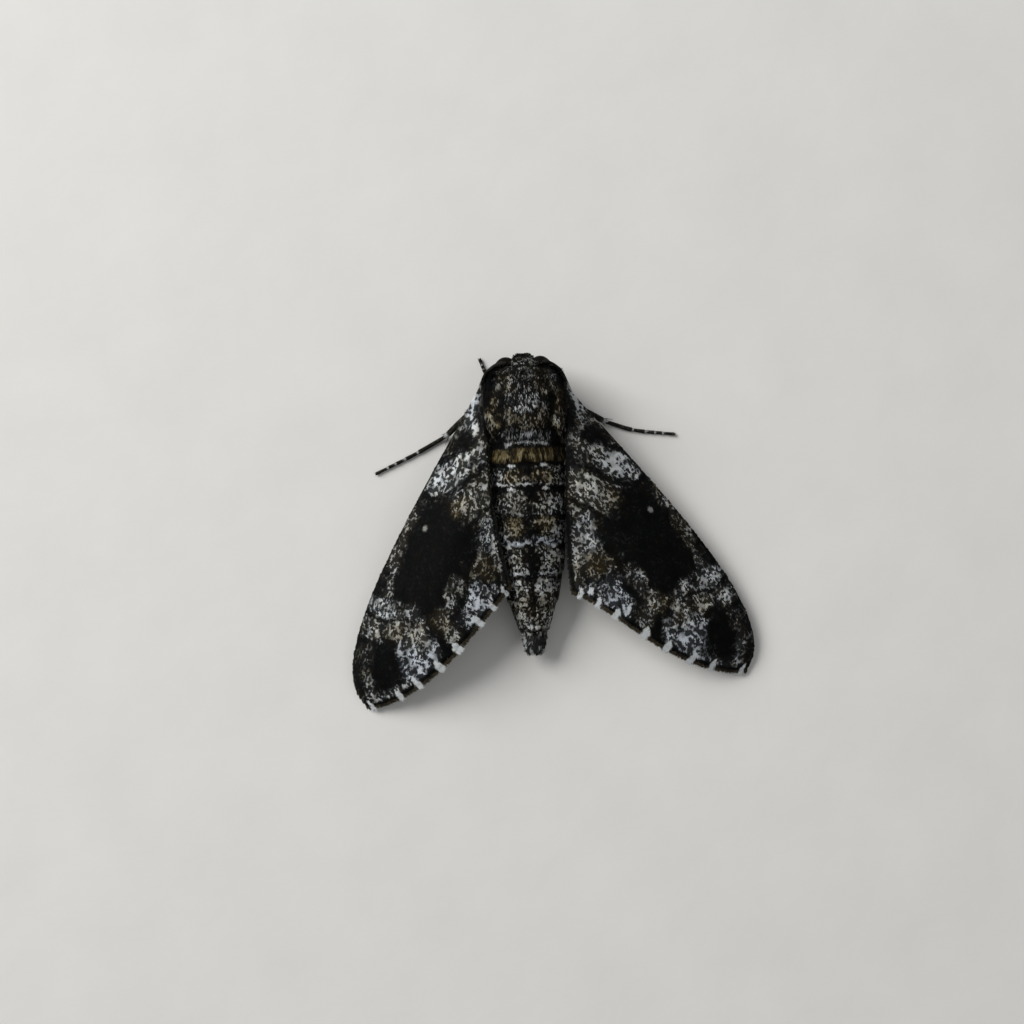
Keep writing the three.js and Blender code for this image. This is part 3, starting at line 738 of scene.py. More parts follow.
def eye_material(colours):
    """A compound eye: fine six-sided facets under a clear gloss."""
    material, nodes, links, shader = node_material("moth_eye", 0.16)
    facets = texture(nodes, links, "ShaderNodeTexVoronoi", 12000.0, randomness=0.2)
    shade = texture(nodes, links, "ShaderNodeTexNoise", 700.0, detail=3.0)
    lighter = [min(1.0, channel * 3.2) for channel in colours.eye[:3]] + [1.0]
    links.new(ramp(nodes, links, shade.outputs["Fac"], ((0.35, colours.eye), (0.75, lighter))),
              shader.inputs["Base Color"])
    shader.inputs["Specular IOR Level"].default_value = 0.22
    shader.inputs["Coat Weight"].default_value = 0.1
    shader.inputs["Coat Roughness"].default_value = 0.04
    bump(nodes, links, shader, facets.outputs["Distance"], 0.000003)
    return material


def horn_material(colours):
    material, nodes, links, shader = node_material("moth_horn", 0.38)
    shade = texture(nodes, links, "ShaderNodeTexNoise", 1800.0, detail=4.0)
    darker = [channel * 0.35 for channel in colours.horn[:3]] + [1.0]
    links.new(ramp(nodes, links, shade.outputs["Fac"], ((0.3, darker), (0.7, colours.horn))),
              shader.inputs["Base Color"])
    rings = texture(nodes, links, "ShaderNodeTexNoise", 9000.0, detail=1.0)
    bump(nodes, links, shader, rings.outputs["Fac"], 0.00001)
    return material


def floor_material(colours):
    material, nodes, links, shader = node_material("plain_floor", 0.85)
    grain = texture(nodes, links, "ShaderNodeTexNoise", 60.0, detail=6.0)
    darker = [channel * 0.96 for channel in colours.floor[:3]] + [1.0]
    links.new(ramp(nodes, links, grain.outputs["Fac"], ((0.3, darker), (0.7, colours.floor))),
              shader.inputs["Base Color"])
    bump(nodes, links, shader, grain.outputs["Fac"], 0.0002)
    return material


def scales(context, name="moth_scales", **settings):
    """The scale material of that name, made once."""
    return bpy.data.materials.get(name) or scale_material(name, context.scene.moth_colours, **settings)


def skin_scales(context):
    """The look of skin and membrane: the same colours as the coat, with a coarser relief."""
    return scales(context, "moth_skin", relief=0.00006, grain=4200.0)


# ------------------------------------------------------------------ forewing surface
def wing_flat(r, t, side):
    """The wing's flat outline filled in: r from root to outer edge, t from leading to hind edge."""
    rr, tt = r[:, None], t[:, None]
    root_fore, apex = np.array(WING["costa"][0]), np.array(WING["costa"][3])
    root_hind, corner = np.array(WING["inner"][0]), np.array(WING["inner"][1])
    inner = mix(root_hind, corner, rr)
    inner[:, 1] += WING["inner_bow"][side] * np.sin(math.pi * r)
    flat = bezier(WING["costa"], r) * (1 - tt) + inner * tt
    flat += mix(root_fore, root_hind, tt) * (1 - rr) + bezier(WING["outer"], t) * rr
    flat -= (1 - rr) * (1 - tt) * root_fore + rr * (1 - tt) * apex
    flat -= (1 - rr) * tt * root_hind + rr * tt * corner
    flat[:, 1] += WING["tuck"][side] * r * t**4
    return flat


def mark_place(r, t, side):
    """The flat place that the markings follow: both wings share the right one's hind corner."""
    flat = wing_flat(r, t, side)
    flat[:, 1] += (WING["tuck"]["right"] - WING["tuck"][side]) * r * t**4
    return flat


def wing_height(r, t, side):
    h = WING_HEIGHT
    costa = mix(h["costa_root"], h["costa_tip"], r ** h["costa_drop"])
    inner = mix(h["inner_root"], h["inner_tip"], r * r)
    inner = inner + WING["inner_lift"][side] * np.sin(math.pi / 2 * r)
    dome = h["camber"] * np.sin(math.pi * t) * mix(0.6, 1.0, r)
    return mix(costa, inner, np.sin(math.pi / 2 * t)) + dome


def wing_point(r, t, side):
    flat = wing_flat(r, t, side)
    sweep = math.radians(WING["sweep"][side])
    x = WING["root"][0] + flat[:, 0] * math.sin(sweep) + flat[:, 1] * math.cos(sweep)
    y = WING["root"][1] - flat[:, 0] * math.cos(sweep) + flat[:, 1] * math.sin(sweep)
    return np.stack([x * SIDES[side], y, wing_height(r, t, side)], 1)


def wing_frame(r, t, side):
    """Point, upward normal and outward direction of the wing's middle surface."""
    step = 0.01
    r_in, t_in = np.clip(r, step, 1 - step), np.clip(t, step, 1 - step)
    outward = wing_point(r_in + step, t_in, side) - wing_point(r_in - step, t_in, side)
    across = wing_point(r_in, t_in + step, side) - wing_point(r_in, t_in - step, side)
    normal = unit(np.cross(outward, across))
    normal *= np.sign(normal[:, 2:3])
    return wing_point(r, t, side), normal, unit(outward)


# Where the veins run: (t at the wing's root or cell, t at the outer edge, r where it starts).
VEINS = (
    (0.07, 0.02, 0.0), (0.2, 0.09, 0.0), (0.24, 0.19, 0.42), (0.27, 0.29, 0.44), (0.31, 0.4, 0.46),
    (0.4, 0.51, 0.48), (0.47, 0.62, 0.47), (0.53, 0.73, 0.45), (0.56, 0.84, 0.36), (0.8, 0.95, 0.0),
)
CELL_EDGES = (0.2, 0.56)  # t of the two veins that enclose the wing's cell


def vein_relief(r, t):
    """1 on a vein, 0 away from it."""
    relief = np.zeros(len(r))
    for inner, outer, start in VEINS:
        along = np.clip((r - start) / (1 - start), 0, 1)
        place = mix(inner, outer, along**1.15)
        half = mix(0.012, 0.016, r)
        begun = smooth(start - 0.03, start + 0.01, r)
        relief = np.maximum(relief, np.exp(-(((t - place) / half) ** 2)) * begun)
    for edge in CELL_EDGES:
        cell = np.exp(-(((t - edge) / 0.014) ** 2)) * (1 - smooth(0.42, 0.46, r))
        relief = np.maximum(relief, cell)
    return relief


MEMBRANE = 0.09  # half thickness of the wing membrane
WING_EDGE = 0.978  # where the membrane ends and the fringe goes on
WING_ROWS, WING_COLUMNS = 190, 96


def membrane(side, place, lift, rows, columns):
    """A closed thin sheet over (u, v) from 0 to 1. place turns them into the forewing's (r, t)."""
    grids = np.meshgrid(np.linspace(0, 1, rows), np.linspace(0, 1, columns), indexing="ij")
    u, v = (grid.ravel() for grid in grids)
    r, t = place(u, v)
    point, normal, _ = wing_frame(r, t, side)
    relief = 0.06 * vein_relief(r, t) + 0.05 * (noise(np.stack([t * 18, r * 3], 1), 1.0, 5) - 0.5)
    rim = np.minimum.reduce([u, 1 - u, v * 0.5, (1 - v) * 0.5])
    half = MEMBRANE * np.sqrt(np.clip(rim / 0.012, 0.0, 1.0))
    top = point + normal * (lift + relief + half)[:, None]
    bottom = point + normal * (lift + relief - half)[:, None]
    points = np.vstack([top, bottom])
    count = rows * columns
    upper = grid_faces(rows, columns)
    lower = [tuple(index + count for index in face[::-1]) for face in upper]
    border = list(range(columns)) + [k * columns + columns - 1 for k in range(1, rows)]
    border += [count - 1 - k for k in range(1, columns)] + [k * columns for k in range(rows - 2, 0, -1)]
    rim_faces = [(a, a + count, b + count, b) for a, b in zip(border, border[1:] + border[:1])]
    if SIDES[side] < 0:
        upper, lower, rim_faces = ([face[::-1] for face in group] for group in (upper, lower, rim_faces))
    return points, upper + lower + rim_faces, np.stack([r, t], 1)


def forewing_place(u, v):
    return u * WING_EDGE, v


def hindwing_place(u, v):
    """The hindwing is a fan folded under the forewing."""
    h = HINDWING
    edge = h["reach"] * (1 - 0.2 * v**3) * (0.86 + 0.14 * np.sin(math.pi * np.minimum(1, v + 0.25)))
    spread = mix(0.45, 1.0, np.sqrt(u))
    return mix(h["start"], edge, u), mix(h["inner_share"], h["costa_share"], (1 - v) * spread)


UNDERSIDE_BANDS = (((34, -4), (1.2, 14), 12), ((43, -4), (1.4, 14), 16))


def underside_marks(flat, _share):
    """The underside is plain grey-brown with two faint dark bands."""
    bands = np.max([blob(flat[:, 0], flat[:, 1], *band) for band in UNDERSIDE_BANDS], axis=0)
    pale = mix(0.30, 0.14, bands) + 0.16 * (noise(flat, 0.9, 45) - 0.5)
    return pale, np.full(len(flat), 0.45)


def hindwing_marks(flat):
    """Grey-brown, paler to the root, with three wavy dark bands."""
    wave = 0.8 * (noise(flat, 3.0, 12) - 0.5)
    bands = np.zeros(len(flat))
    for place in (20.0, 27.0, 34.0):
        bands = np.maximum(bands, 1 - smooth(0.6, 1.6, np.abs(flat[:, 0] + wave - place - 0.25 * flat[:, 1])))
    tone = mix(0.42, 0.12, bands) * mix(1.0, 0.6, smooth(24, 38, flat[:, 0]))
    return tone + 0.14 * (noise(flat, 0.7, 46) - 0.5), np.full(len(flat), 0.2)


def wing_unwrap(flat):
    """The wing laid flat, fitted to the map."""
    low, high = flat.min(0), flat.max(0)
    return mix(0.003, 0.997, (flat - low) / (high - low))


def sheet_triangles(rows, columns):
    quads = np.array(grid_faces(rows, columns))
    return np.vstack([quads[:, [0, 1, 2]], quads[:, [0, 2, 3]]])


# Scales per square millimetre, beside the forewing's own setting.
DENSITY = {"hindwing": 11, "front": 50, "rings": 62, "under": 24, "feeler": 45, "leg": 34}
LEAF_SIZES = {"hindwing": (1.15, 0.36, 0.07), "feeler": (0.3, 0.11, 0.03)}  # length, width and lift
UNDERSIDE_SHARE = 0.12  # the forewing's underside has this share of the upper side's scales
SEEDS = {"forewing": 100, "hindwing": 200, "body": 300, "feeler": 400, "brow": 450, "leg": 500}
FLECK_SHIFT = 60.0  # sets one wing's flecks apart from the other's
FORE_ZONE = 0.36  # the share of the wing's breadth whose scales are the fore piece
BODY_CLEAR = (6.6, 6.0)  # half width and height of the space that the body fills between the wings
BODY_CLEAR_END = -6.0


class MOTH_OT_forewings(bpy.types.Operator):
    """Builds both forewings: membrane with veins, scales on both sides and the fringe"""

    bl_idname = "moth.forewings"
    bl_label = "Forewings"

    def execute(self, context):
        sizes = context.scene.moth_sizes
        material = scales(context)
        for number, side in enumerate(SIDES):
            rng = np.random.default_rng(SEEDS["forewing"] + number)
            points, faces, share = membrane(side, forewing_place, 0.0, WING_ROWS, WING_COLUMNS)
            r, t = share.T
            flat = mark_place(r, t, side)
            upper_marks = functools.partial(wing_marks, shift=FLECK_SHIFT * number)
            upper, lower = upper_marks(flat, share), underside_marks(flat, share)
            marks = [np.concatenate(pair) for pair in zip(upper, lower)]
            skin = build("forewing_skin_" + side, points, faces, marks, skin_scales(context))
            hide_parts("forewing_" + side)
            _, normal, outward = wing_frame(r, t, side)
            triangles = sheet_triangles(WING_ROWS, WING_COLUMNS)
            fore = t[triangles].mean(1) < FORE_ZONE
            extras = (outward, flat, share)
            top, bottom = (points[: len(r)], normal), (points[len(r):], -normal)
            for zone, chosen in (("fore", triangles[fore]), ("hind", triangles[~fore])):
                self.coat(f"forewing_{zone}_scales_{side}", (*top, chosen), extras, sizes,
                          upper_marks, material, rng, per_mm2=sizes.wing_scales, lift=0.09, size=1.0)
            self.coat("forewing_underscales_" + side, (*bottom, triangles), extras, sizes,
                      underside_marks, material, rng, per_mm2=UNDERSIDE_SHARE * sizes.wing_scales,
                      lift=0.07, size=1.9)
            self.fringe(side, material, rng)
        return {"FINISHED"}

    @staticmethod
    def coat(name, surface, extras, sizes, marks, material, rng, per_mm2, lift, size):
        roots, outward, flow, flat, share = scatter(*surface, per_mm2, rng, extras)
        wide, high = BODY_CLEAR
        clear = (roots[:, 0] / wide) ** 2 + ((roots[:, 2] - BODY_MIDDLE) / high) ** 2 > 1
        clear |= roots[:, 1] < BODY_CLEAR_END
        roots, outward, flow, flat, share = (values[clear] for values in (roots, outward, flow, flat, share))
        length, width = size * sizes.wing_scale_length / MM, size * sizes.wing_scale_width / MM
        rim = smooth(0.05, 0.0, share[:, 1])  # smooth and tight along the leading edge
        across = np.cross(outward, flow) * np.sign(roots[:, :1])
        turn = 0.5 * (noise(flat, 1.6, 33) - 0.5) * (1 - rim) - 0.15 * rim
        leaves(name, roots, outward, flow + turn[:, None] * across, length * (1 - 0.25 * rim), width,
               lift * (1 - 0.5 * rim), marks(flat, share), wing_unwrap(flat), material, "wing_scales", rng,
               sway=0.2 * (1 - 0.7 * rim))

    @staticmethod
    def fringe(side, material, rng):
        """Long narrow scales in rows along the outer edge, round the hind corner and at the root."""
        outer, hind = 2560, 260  # scales on the outer and the hind edge
        slit = 280  # on the hind edge beside the body, and again on the edge that meets it
        strip = 0.012  # how far in from the edges they are rooted
        t = rng.random(outer)
        r = WING_EDGE - strip * rng.random(outer)
        t = np.concatenate([t, 1 - strip * rng.random(hind + slit), mix(0.1, 1.0, rng.random(slit))])
        r = np.concatenate([r, mix(0.55, WING_EDGE, rng.random(hind)), 0.09 * rng.random(slit) ** 1.6,
                            strip * rng.random(slit)])
        point, normal, outward = wing_frame(r, t, side)
        along = wing_point(r, np.minimum(t + 0.01, 1), side) - wing_point(r, np.maximum(t - 0.01, 0), side)
        square = np.cross(along, normal)
        square = unit(square) * np.sign((square * outward).sum(1, keepdims=True))
        order = np.arange(len(r)) - outer
        back = order >= 0
        beside_body = order >= hind  # these close the slit beside the thorax
        flow = np.where(back[:, None], outward + 0.8 * unit(along), square + 0.3 * outward)
        behind = smooth(0.02, 0.08, r)
        rearward = -0.3 - 2.2 * behind
        to_body = np.stack([np.full(len(r), -SIDES[side]), rearward, np.zeros(len(r))], 1)
        flow = np.where(beside_body[:, None], to_body, flow)
        flat, share = mark_place(r, t, side), np.stack([r, t], 1)
        level = (rng.random(len(r)) - 0.5) * 1.6 * MEMBRANE
        length = np.where(back, 0.7, 1.1 * (1 + 0.3 * fringe_spots(share)))
        length = np.where(beside_body, 1.2 - 0.5 * behind, length)
        leaves("forewing_fringe_" + side, point + normal * level[:, None], normal, flow,
               length, 0.16, 0.04, fringe_marks(flat, share),
               wing_unwrap(flat), material, "wing_scales", rng, sway=0.12)


class MOTH_OT_hindwings(bpy.types.Operator):
    """Builds both hindwings, folded under the forewings"""

    bl_idname = "moth.hindwings"
    bl_label = "Hindwings"

    def execute(self, context):
        rows, columns = 90, 60
        for number, side in enumerate(SIDES):
            rng = np.random.default_rng(SEEDS["hindwing"] + number)
            points, faces, share = membrane(side, hindwing_place, -HINDWING["below"], rows, columns)
            r, t = share.T
            flat = wing_flat(r, t, side)
            marks = [np.concatenate([values, values]) for values in hindwing_marks(flat)]
            skin = build("hindwing_skin_" + side, points, faces, marks, skin_scales(context))
            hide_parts("hindwing_" + side)
            _, normal, outward = wing_frame(r, t, side)
            triangles = sheet_triangles(rows, columns)
            roots, down, flow, place = scatter(points[len(r):], -normal, triangles, DENSITY["hindwing"],
                                               rng, (outward, flat))
            leaves("hindwing_scales_" + side, roots, down, flow, *LEAF_SIZES["hindwing"],
                   hindwing_marks(place), wing_unwrap(place), scales(context), "hindwing_scales", rng)
        return {"FINISHED"}


# ------------------------------------------------------------------ body
FLESH = (
    "head", "palp_left", "palp_right", "tegula_left", "tegula_right", "collar", "thorax", "metathorax",
    "abdomen_1", "abdomen_2", "abdomen_3", "abdomen_4", "abdomen_5", "abdomen_6", "abdomen_7", "tail_tuft",
)
SWELL = 0.22 * MM  # more than half the gaps between the solids, which it closes


def modified(piece, *modifiers):
    """The piece's mesh after the modifiers, each given as (kind, settings)."""
    for kind, settings in modifiers:
        modifier = piece.modifiers.new(kind.title(), kind)
        for name, value in settings.items():
            setattr(modifier, name, value)
    bpy.context.view_layer.update()
    evaluated = piece.evaluated_get(bpy.context.evaluated_depsgraph_get())
    mesh = bpy.data.meshes.new_from_object(evaluated)
    piece.modifiers.clear()
    piece.data = mesh
    return mesh


def skin_over(nodes, step, depth):
    """One closed skin over copies of the solids, drawn in by the coat's depth."""
    shape = bmesh.new()
    for node in nodes:
        shape.from_mesh(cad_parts[node].data)
    bmesh.ops.remove_doubles(shape, verts=shape.verts, dist=1e-6)
    mesh = bpy.data.meshes.new("body_skin")
    shape.to_mesh(mesh)
    shape.free()
    piece = bpy.data.objects.new("body_skin", mesh)
    bpy.context.scene.collection.objects.link(piece)
    remesh = ("REMESH", {"mode": "VOXEL", "voxel_size": step, "use_smooth_shade": True})
    modified(piece, remesh, ("DISPLACE", {"strength": SWELL, "mid_level": 0.0}), remesh,
             ("SMOOTH", {"factor": 0.5, "iterations": 6}),
             ("DISPLACE", {"strength": -SWELL - depth, "mid_level": 0.0}),
             ("SMOOTH", {"factor": 0.5, "iterations": 3}))
    return piece


def narrow_snout(mesh):
    """Draws the brow in to the snout, above the palps."""
    places = np.empty(len(mesh.vertices) * 3)
    mesh.vertices.foreach_get("co", places)
    places = places.reshape(-1, 3)
    x, y, z = ((places - ORIGIN) / MM).T
    share = 0.38 * smooth(6.9, 8.2, y) * smooth(4.6, 6.2, z)
    places[:, 0] -= share * x * MM
    mesh.vertices.foreach_set("co", places.ravel())
    mesh.update()


def band_of(y):
    """1 on the plain ochre band between thorax and abdomen, where the hairs lie straight."""
    return smooth(-6.2, -6.8, y) * smooth(-10.7, -10.3, y)


def lie_of_body(points, normals):
    """The coat is combed from the mouth up over the face, and back along the body."""
    flow = np.tile([0.0, -1.0, 0.0], (len(points), 1))
    flow[:, 0] = 0.16 * np.sign(points[:, 0]) * smooth(2.0, 6.0, np.abs(points[:, 0]))
    flow[:, 2] = 2.5 * smooth(0.1, 0.7, normals[:, 1])
    brush = smooth(TAIL_ROOT + 0.4, TAIL_ROOT - 0.4, points[:, 1])
    flow[:, 0] += 0.35 * brush * np.clip(points[:, 0], -1, 1)
    turn = 0.7 * (noise(points, 1.4, 25) - 0.5) * (1 - 0.8 * band_of(points[:, 1]))
    return unit(flow) + turn[:, None] * np.cross(normals, unit(flow))


BODY_AXIS = ((TAIL_ROOT, -8.0, 4.0), (3.7, 8.0, 7.6))  # places along the body, and its middle's heights


def above_axis(points):
    """Height over the line that parts the body's upper half from its under half."""
    return points[:, 2] - np.interp(points[:, 1], *BODY_AXIS)


def body_unwrap(points, upper):
    """Half of the body's skin unrolled: across it, and along it from the tail over the face."""
    rise = above_axis(points)
    across = np.arctan2(points[:, 0], rise if upper else -rise) / math.pi
    reach = np.hypot(points[:, 0], rise)
    face = 7.0 * np.arctan2(np.maximum(points[:, 1] - 4.0, 0), reach)
    along = np.minimum(points[:, 1], 4.0) + face - TAIL_END
    return np.stack([0.5 + 0.98 * across, along / (15.5 - TAIL_END)], 1)


class MOTH_OT_body(bpy.types.Operator):
    """Builds the skin of head, thorax and abdomen in one piece, and its coat"""

    bl_idname = "moth.body"
    bl_label = "Body and coat"

    def execute(self, context):
        sizes = context.scene.moth_sizes
        piece = skin_over(FLESH, sizes.skin_step, sizes.coat_depth)
        narrow_snout(piece.data)
        points, normals, triangles = surface_of(piece)
        mark_points(piece.data, body_marks(points, normals))
        dress(piece, skin_scales(context))
        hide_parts(*FLESH)
        hair = sizes.hair_length / MM
        rng = np.random.default_rng(SEEDS["body"])
        middle = points[triangles].mean(1)
        rise = above_axis(middle)
        front = middle[:, 1] > WAIST
        for name, upper, chosen, per_mm2 in (
                ("body_coat_front", True, (rise >= 0) & front, DENSITY["front"]),
                ("body_coat_rings", True, (rise >= 0) & ~front, DENSITY["rings"]),
                ("body_coat_under", False, rise < 0, DENSITY["under"])):
            roots, outward = scatter(points, normals, triangles[chosen], per_mm2, rng)
            length, width, lift = self.sizes(roots, hair)
            leaves(name, roots, outward, lie_of_body(roots, outward), length, width, lift,
                   body_marks(roots, outward), body_unwrap(roots, upper), scales(context), "dark_scales", rng,
                   sway=0.22 * (1 - 0.7 * band_of(roots[:, 1])))
        return {"FINISHED"}

    @staticmethod
    def sizes(roots, hair):
        """Short on the face, hair-like on the thorax, broad on the rings and long at the tail."""
        y, z = roots[:, 1], roots[:, 2]
        rings = smooth(-9.6, -10.6, y)
        tail = smooth(TAIL_ROOT + 0.6, TAIL_ROOT - 0.2, y)
        face = smooth(6.5, 8.0, y) * smooth(9.5, 8.0, z)
        rim = smooth(3.8, 4.8, y) * smooth(6.4, 5.6, y) * smooth(8.5, 9.5, z)
        hem = 1 - smooth(0.1, 0.6, np.abs(y - SHAWL_EDGE))
        shawl = smooth(-4.4, -5.4, y) * smooth(-6.7, -6.3, y) - 1.4 * hem
        length = hair * mix(0.95, 0.52, rings) * (1 - 0.45 * face + 0.45 * rim + 0.3 * shawl + 1.2 * tail)
        width = mix(0.15, 0.19, rings) * (1 - 0.2 * face)
        edges = sum(1 - smooth(0.0, 1.0, np.abs(y - end - 0.5)) for end in RING_ENDS)
        lift = mix(0.24, 0.15, rings) * (1 + 0.6 * edges - 0.4 * face + 1.6 * tail)
        return length, width, lift


# ------------------------------------------------------------------ head parts
def ellipsoid(centre, radii, around, rings):
    """Points and faces of a closed ellipsoid with its poles on the x axis."""
    angle = np.linspace(0, 2 * math.pi, around, endpoint=False)
    polar = np.linspace(0, math.pi, rings + 1)[1:-1]
    ring = np.stack([np.zeros_like(angle), np.cos(angle), np.sin(angle)], 1)
    body = (np.cos(polar)[:, None, None] * [1.0, 0, 0] + np.sin(polar)[:, None, None] * ring).reshape(-1, 3)
    points = np.vstack([body, [[1, 0, 0]], [[-1, 0, 0]]]) * radii + centre
    faces = [face[::-1] for face in grid_faces(len(polar), around, around=True)]
    first, last = len(body), len(body) + 1
    base = (len(polar) - 1) * around
    for k in range(around):
        after = (k + 1) % around
        faces += [(first, k, after), (last, base + after, base + k)]
    return points, faces


class MOTH_OT_head_parts(bpy.types.Operator):
    """Builds the eyes, feelers and coiled tongue"""

    bl_idname = "moth.head_parts"
    bl_label = "Eyes, feelers and tongue"

    def execute(self, context):
        colours = context.scene.moth_colours
        eye_look, horn = eye_material(colours), horn_material(colours)
        for number, (side, sign) in enumerate(SIDES.items()):
            centre = np.array([EYE["x"] * sign, EYE["y"], EYE["z"]])
            points, faces = ellipsoid(centre, np.full(3, EYE["radius"]), around=56, rings=36)
            eye = build("eye_ball_" + side, points, faces, None, eye_look)
            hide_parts("eye_" + side)
            self.brow(context, side, sign, centre, np.random.default_rng(SEEDS["brow"] + number))
            self.antenna(context, side, sign, np.random.default_rng(SEEDS["feeler"] + number))
        tongue = self.tongue(horn)
        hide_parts("proboscis")
        return {"FINISHED"}

    @staticmethod
    def brow(context, side, sign, centre, rng):
        """Dark scales that hang over the eye's upper part like lashes."""
        count = BROW["scales"]
        polar = np.radians(BROW["reach"]) * np.sqrt(rng.random(count))
        around = 2 * math.pi * rng.random(count)
        outward = np.stack([np.sin(polar) * np.cos(around), np.sin(polar) * np.sin(around), np.cos(polar)], 1)
        down = np.stack([np.cos(polar) * np.cos(around), np.cos(polar) * np.sin(around), -np.sin(polar)], 1)
        roots = centre + outward * (EYE["radius"] + 0.01)
        flow = down + (0.25 * sign, -0.15, 0.0)
        length = 0.78 - 0.36 * np.clip(outward[:, 1] / 0.6, 0, 1)
        marks = (0.02 + 0.16 * smooth(0.55, 0.8, noise(roots, 0.5, 41)), np.full(count, 0.3))
        spread = (polar / math.pi)[:, None] * np.stack([np.cos(around), np.sin(around)], 1)
        leaves("brow_scales_" + side, roots, outward, flow, length, BROW["width"], BROW["lift"], marks,
               0.5 + 1.5 * spread, scales(context), "dark_scales", rng)

    @staticmethod
    def antenna(context, side, sign, rng):
        """A tapering feeler of many short rings, pale above along its outer part."""
        path = np.array(ANTENNA_PATH) * (sign, 1, 1)
        steps = ANTENNA["rings"] * 4 + 1
        path = spline(path, steps)
        share = np.linspace(0, 1, steps)
        ringed = 1 - 0.1 * (np.cos(share * ANTENNA["rings"] * 2 * math.pi) + 1) / 2
        radius = mix(ANTENNA["thick"], ANTENNA["thin"], share**2) * ringed
        radius *= np.clip((1 - share) / 0.03, 0.25, 1.0)
        points, faces, along, top = tube(path, radius, sides=10)
        bands = 0.08 * np.cos(along * ANTENNA["rings"] * 2 * math.pi)
        pale = mix(0.2, 0.8, smooth(-0.1, 0.6, top)) * mix(0.12, 1.0, smooth(0.25, 0.31, along)) + bands
        marks = (np.clip(pale, 0, 1), mix(0.7, 0.15, smooth(-0.1, 0.6, top)))
        feeler = build("feeler_" + side, points, faces, marks, scales(context))
        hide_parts("antenna_" + side)
        surface = surface_of(feeler)
        extras = (along[:, None], np.stack(marks, 1))
        roots, outward, place, marks = scatter(*surface, DENSITY["feeler"], rng, extras)
        ahead = unit(np.gradient(path, axis=0))
        flow = ahead[np.minimum((place[:, 0] * (steps - 1)).astype(int), steps - 1)]
        sideways = (outward * np.cross(flow, (0, 0, 1.0))).sum(1)
        around = 0.5 + np.arctan2(outward[:, 2], sideways) / (2 * math.pi)
        leaves("feeler_scales_" + side, roots, outward, flow, *LEAF_SIZES["feeler"], marks.T,
               np.stack([place[:, 0], around], 1), scales(context), "horn", rng)

    @staticmethod
    def tongue(material):
        """The tongue is coiled like a watch spring between the palps."""
        p = PROBOSCIS
        share = np.linspace(0, 1, 180)
        angle = share * p["turns"] * 2 * math.pi + math.pi / 2
        reach = mix(p["outer"], p["inner"], share**0.9)
        path = np.stack([0.06 * np.sin(angle), p["y"] + reach * np.cos(angle),
                         p["z"] + reach * np.sin(angle)], 1)
        ridged = 1 + 0.06 * np.cos(share * p["ridges"] * 2 * math.pi)
        points, faces, *_ = tube(path, p["thick"] * mix(1.0, 0.55, share) * ridged, sides=12)
        return build("tongue", points, faces, None, material)


# ------------------------------------------------------------------ legs
LEG_STEPS, LEG_SIDES = 14, 14
LEG_SCALE_LENGTHS = (0.9, 0.8, 0.6, 0.34)  # at the hip, on the femur, the tibia and the foot
BONE_STEPS = 60  # places along a femur or tibia that its scales are measured from


def leg_part(start, end, radius, ends):
    """A spindle from start to end, ends being its radius there as a share of the widest."""
    share = np.linspace(0, 1, LEG_STEPS)
    path = mix(np.array(start, float), np.array(end, float), share[:, None])
    swell = np.sin(math.pi * mix(0.12, 0.88, share)) ** 0.6
    return tube(path, radius * mix(ends, 1.0, swell), LEG_SIDES)


def foot_path(leg, side):
    sign = SIDES[side]
    ankle = np.array(leg["ankle"][side]) * (sign, 1, 1)
    height = TARSUS_RADIUS * 1.02
    middle, tip = (np.array([x * sign, y, height]) for x, y in leg["foot"][side])
    return spline([ankle, mix(ankle, middle, 0.25) * (1, 1, 0) + (0, 0, height * 1.25), middle, tip], 121)


def foot_radius(share):
    """Each of the five joints widens to its far end and draws in at the next."""
    radius = np.zeros_like(share)
    for start, end in zip(TARSUS_JOINTS, TARSUS_JOINTS[1:]):
        inside = (share >= start) & (share <= end)
        local = (share - start) / (end - start)
        pinch = 1 - 0.3 * np.clip((np.abs(local - 0.5) - 0.44) / 0.06, 0, 1)
        shape = mix(0.8, 1.08, np.clip(local, 0, 1)) * pinch
        radius[inside] = shape[inside]
    return TARSUS_RADIUS * mix(1.08, 0.74, share) * radius


THORN_STEPS, THORN_SIDES = 9, 7


def thorn(start, direction, length, radius, bow):
    """A tapering, slightly bowed spine."""
    share = np.linspace(0, 1, THORN_STEPS)[:, None]
    path = start + direction * length * share + np.array([0, 0, -bow]) * share**2
    return tube(path, radius * np.linspace(1, 0.12, THORN_STEPS), THORN_SIDES)


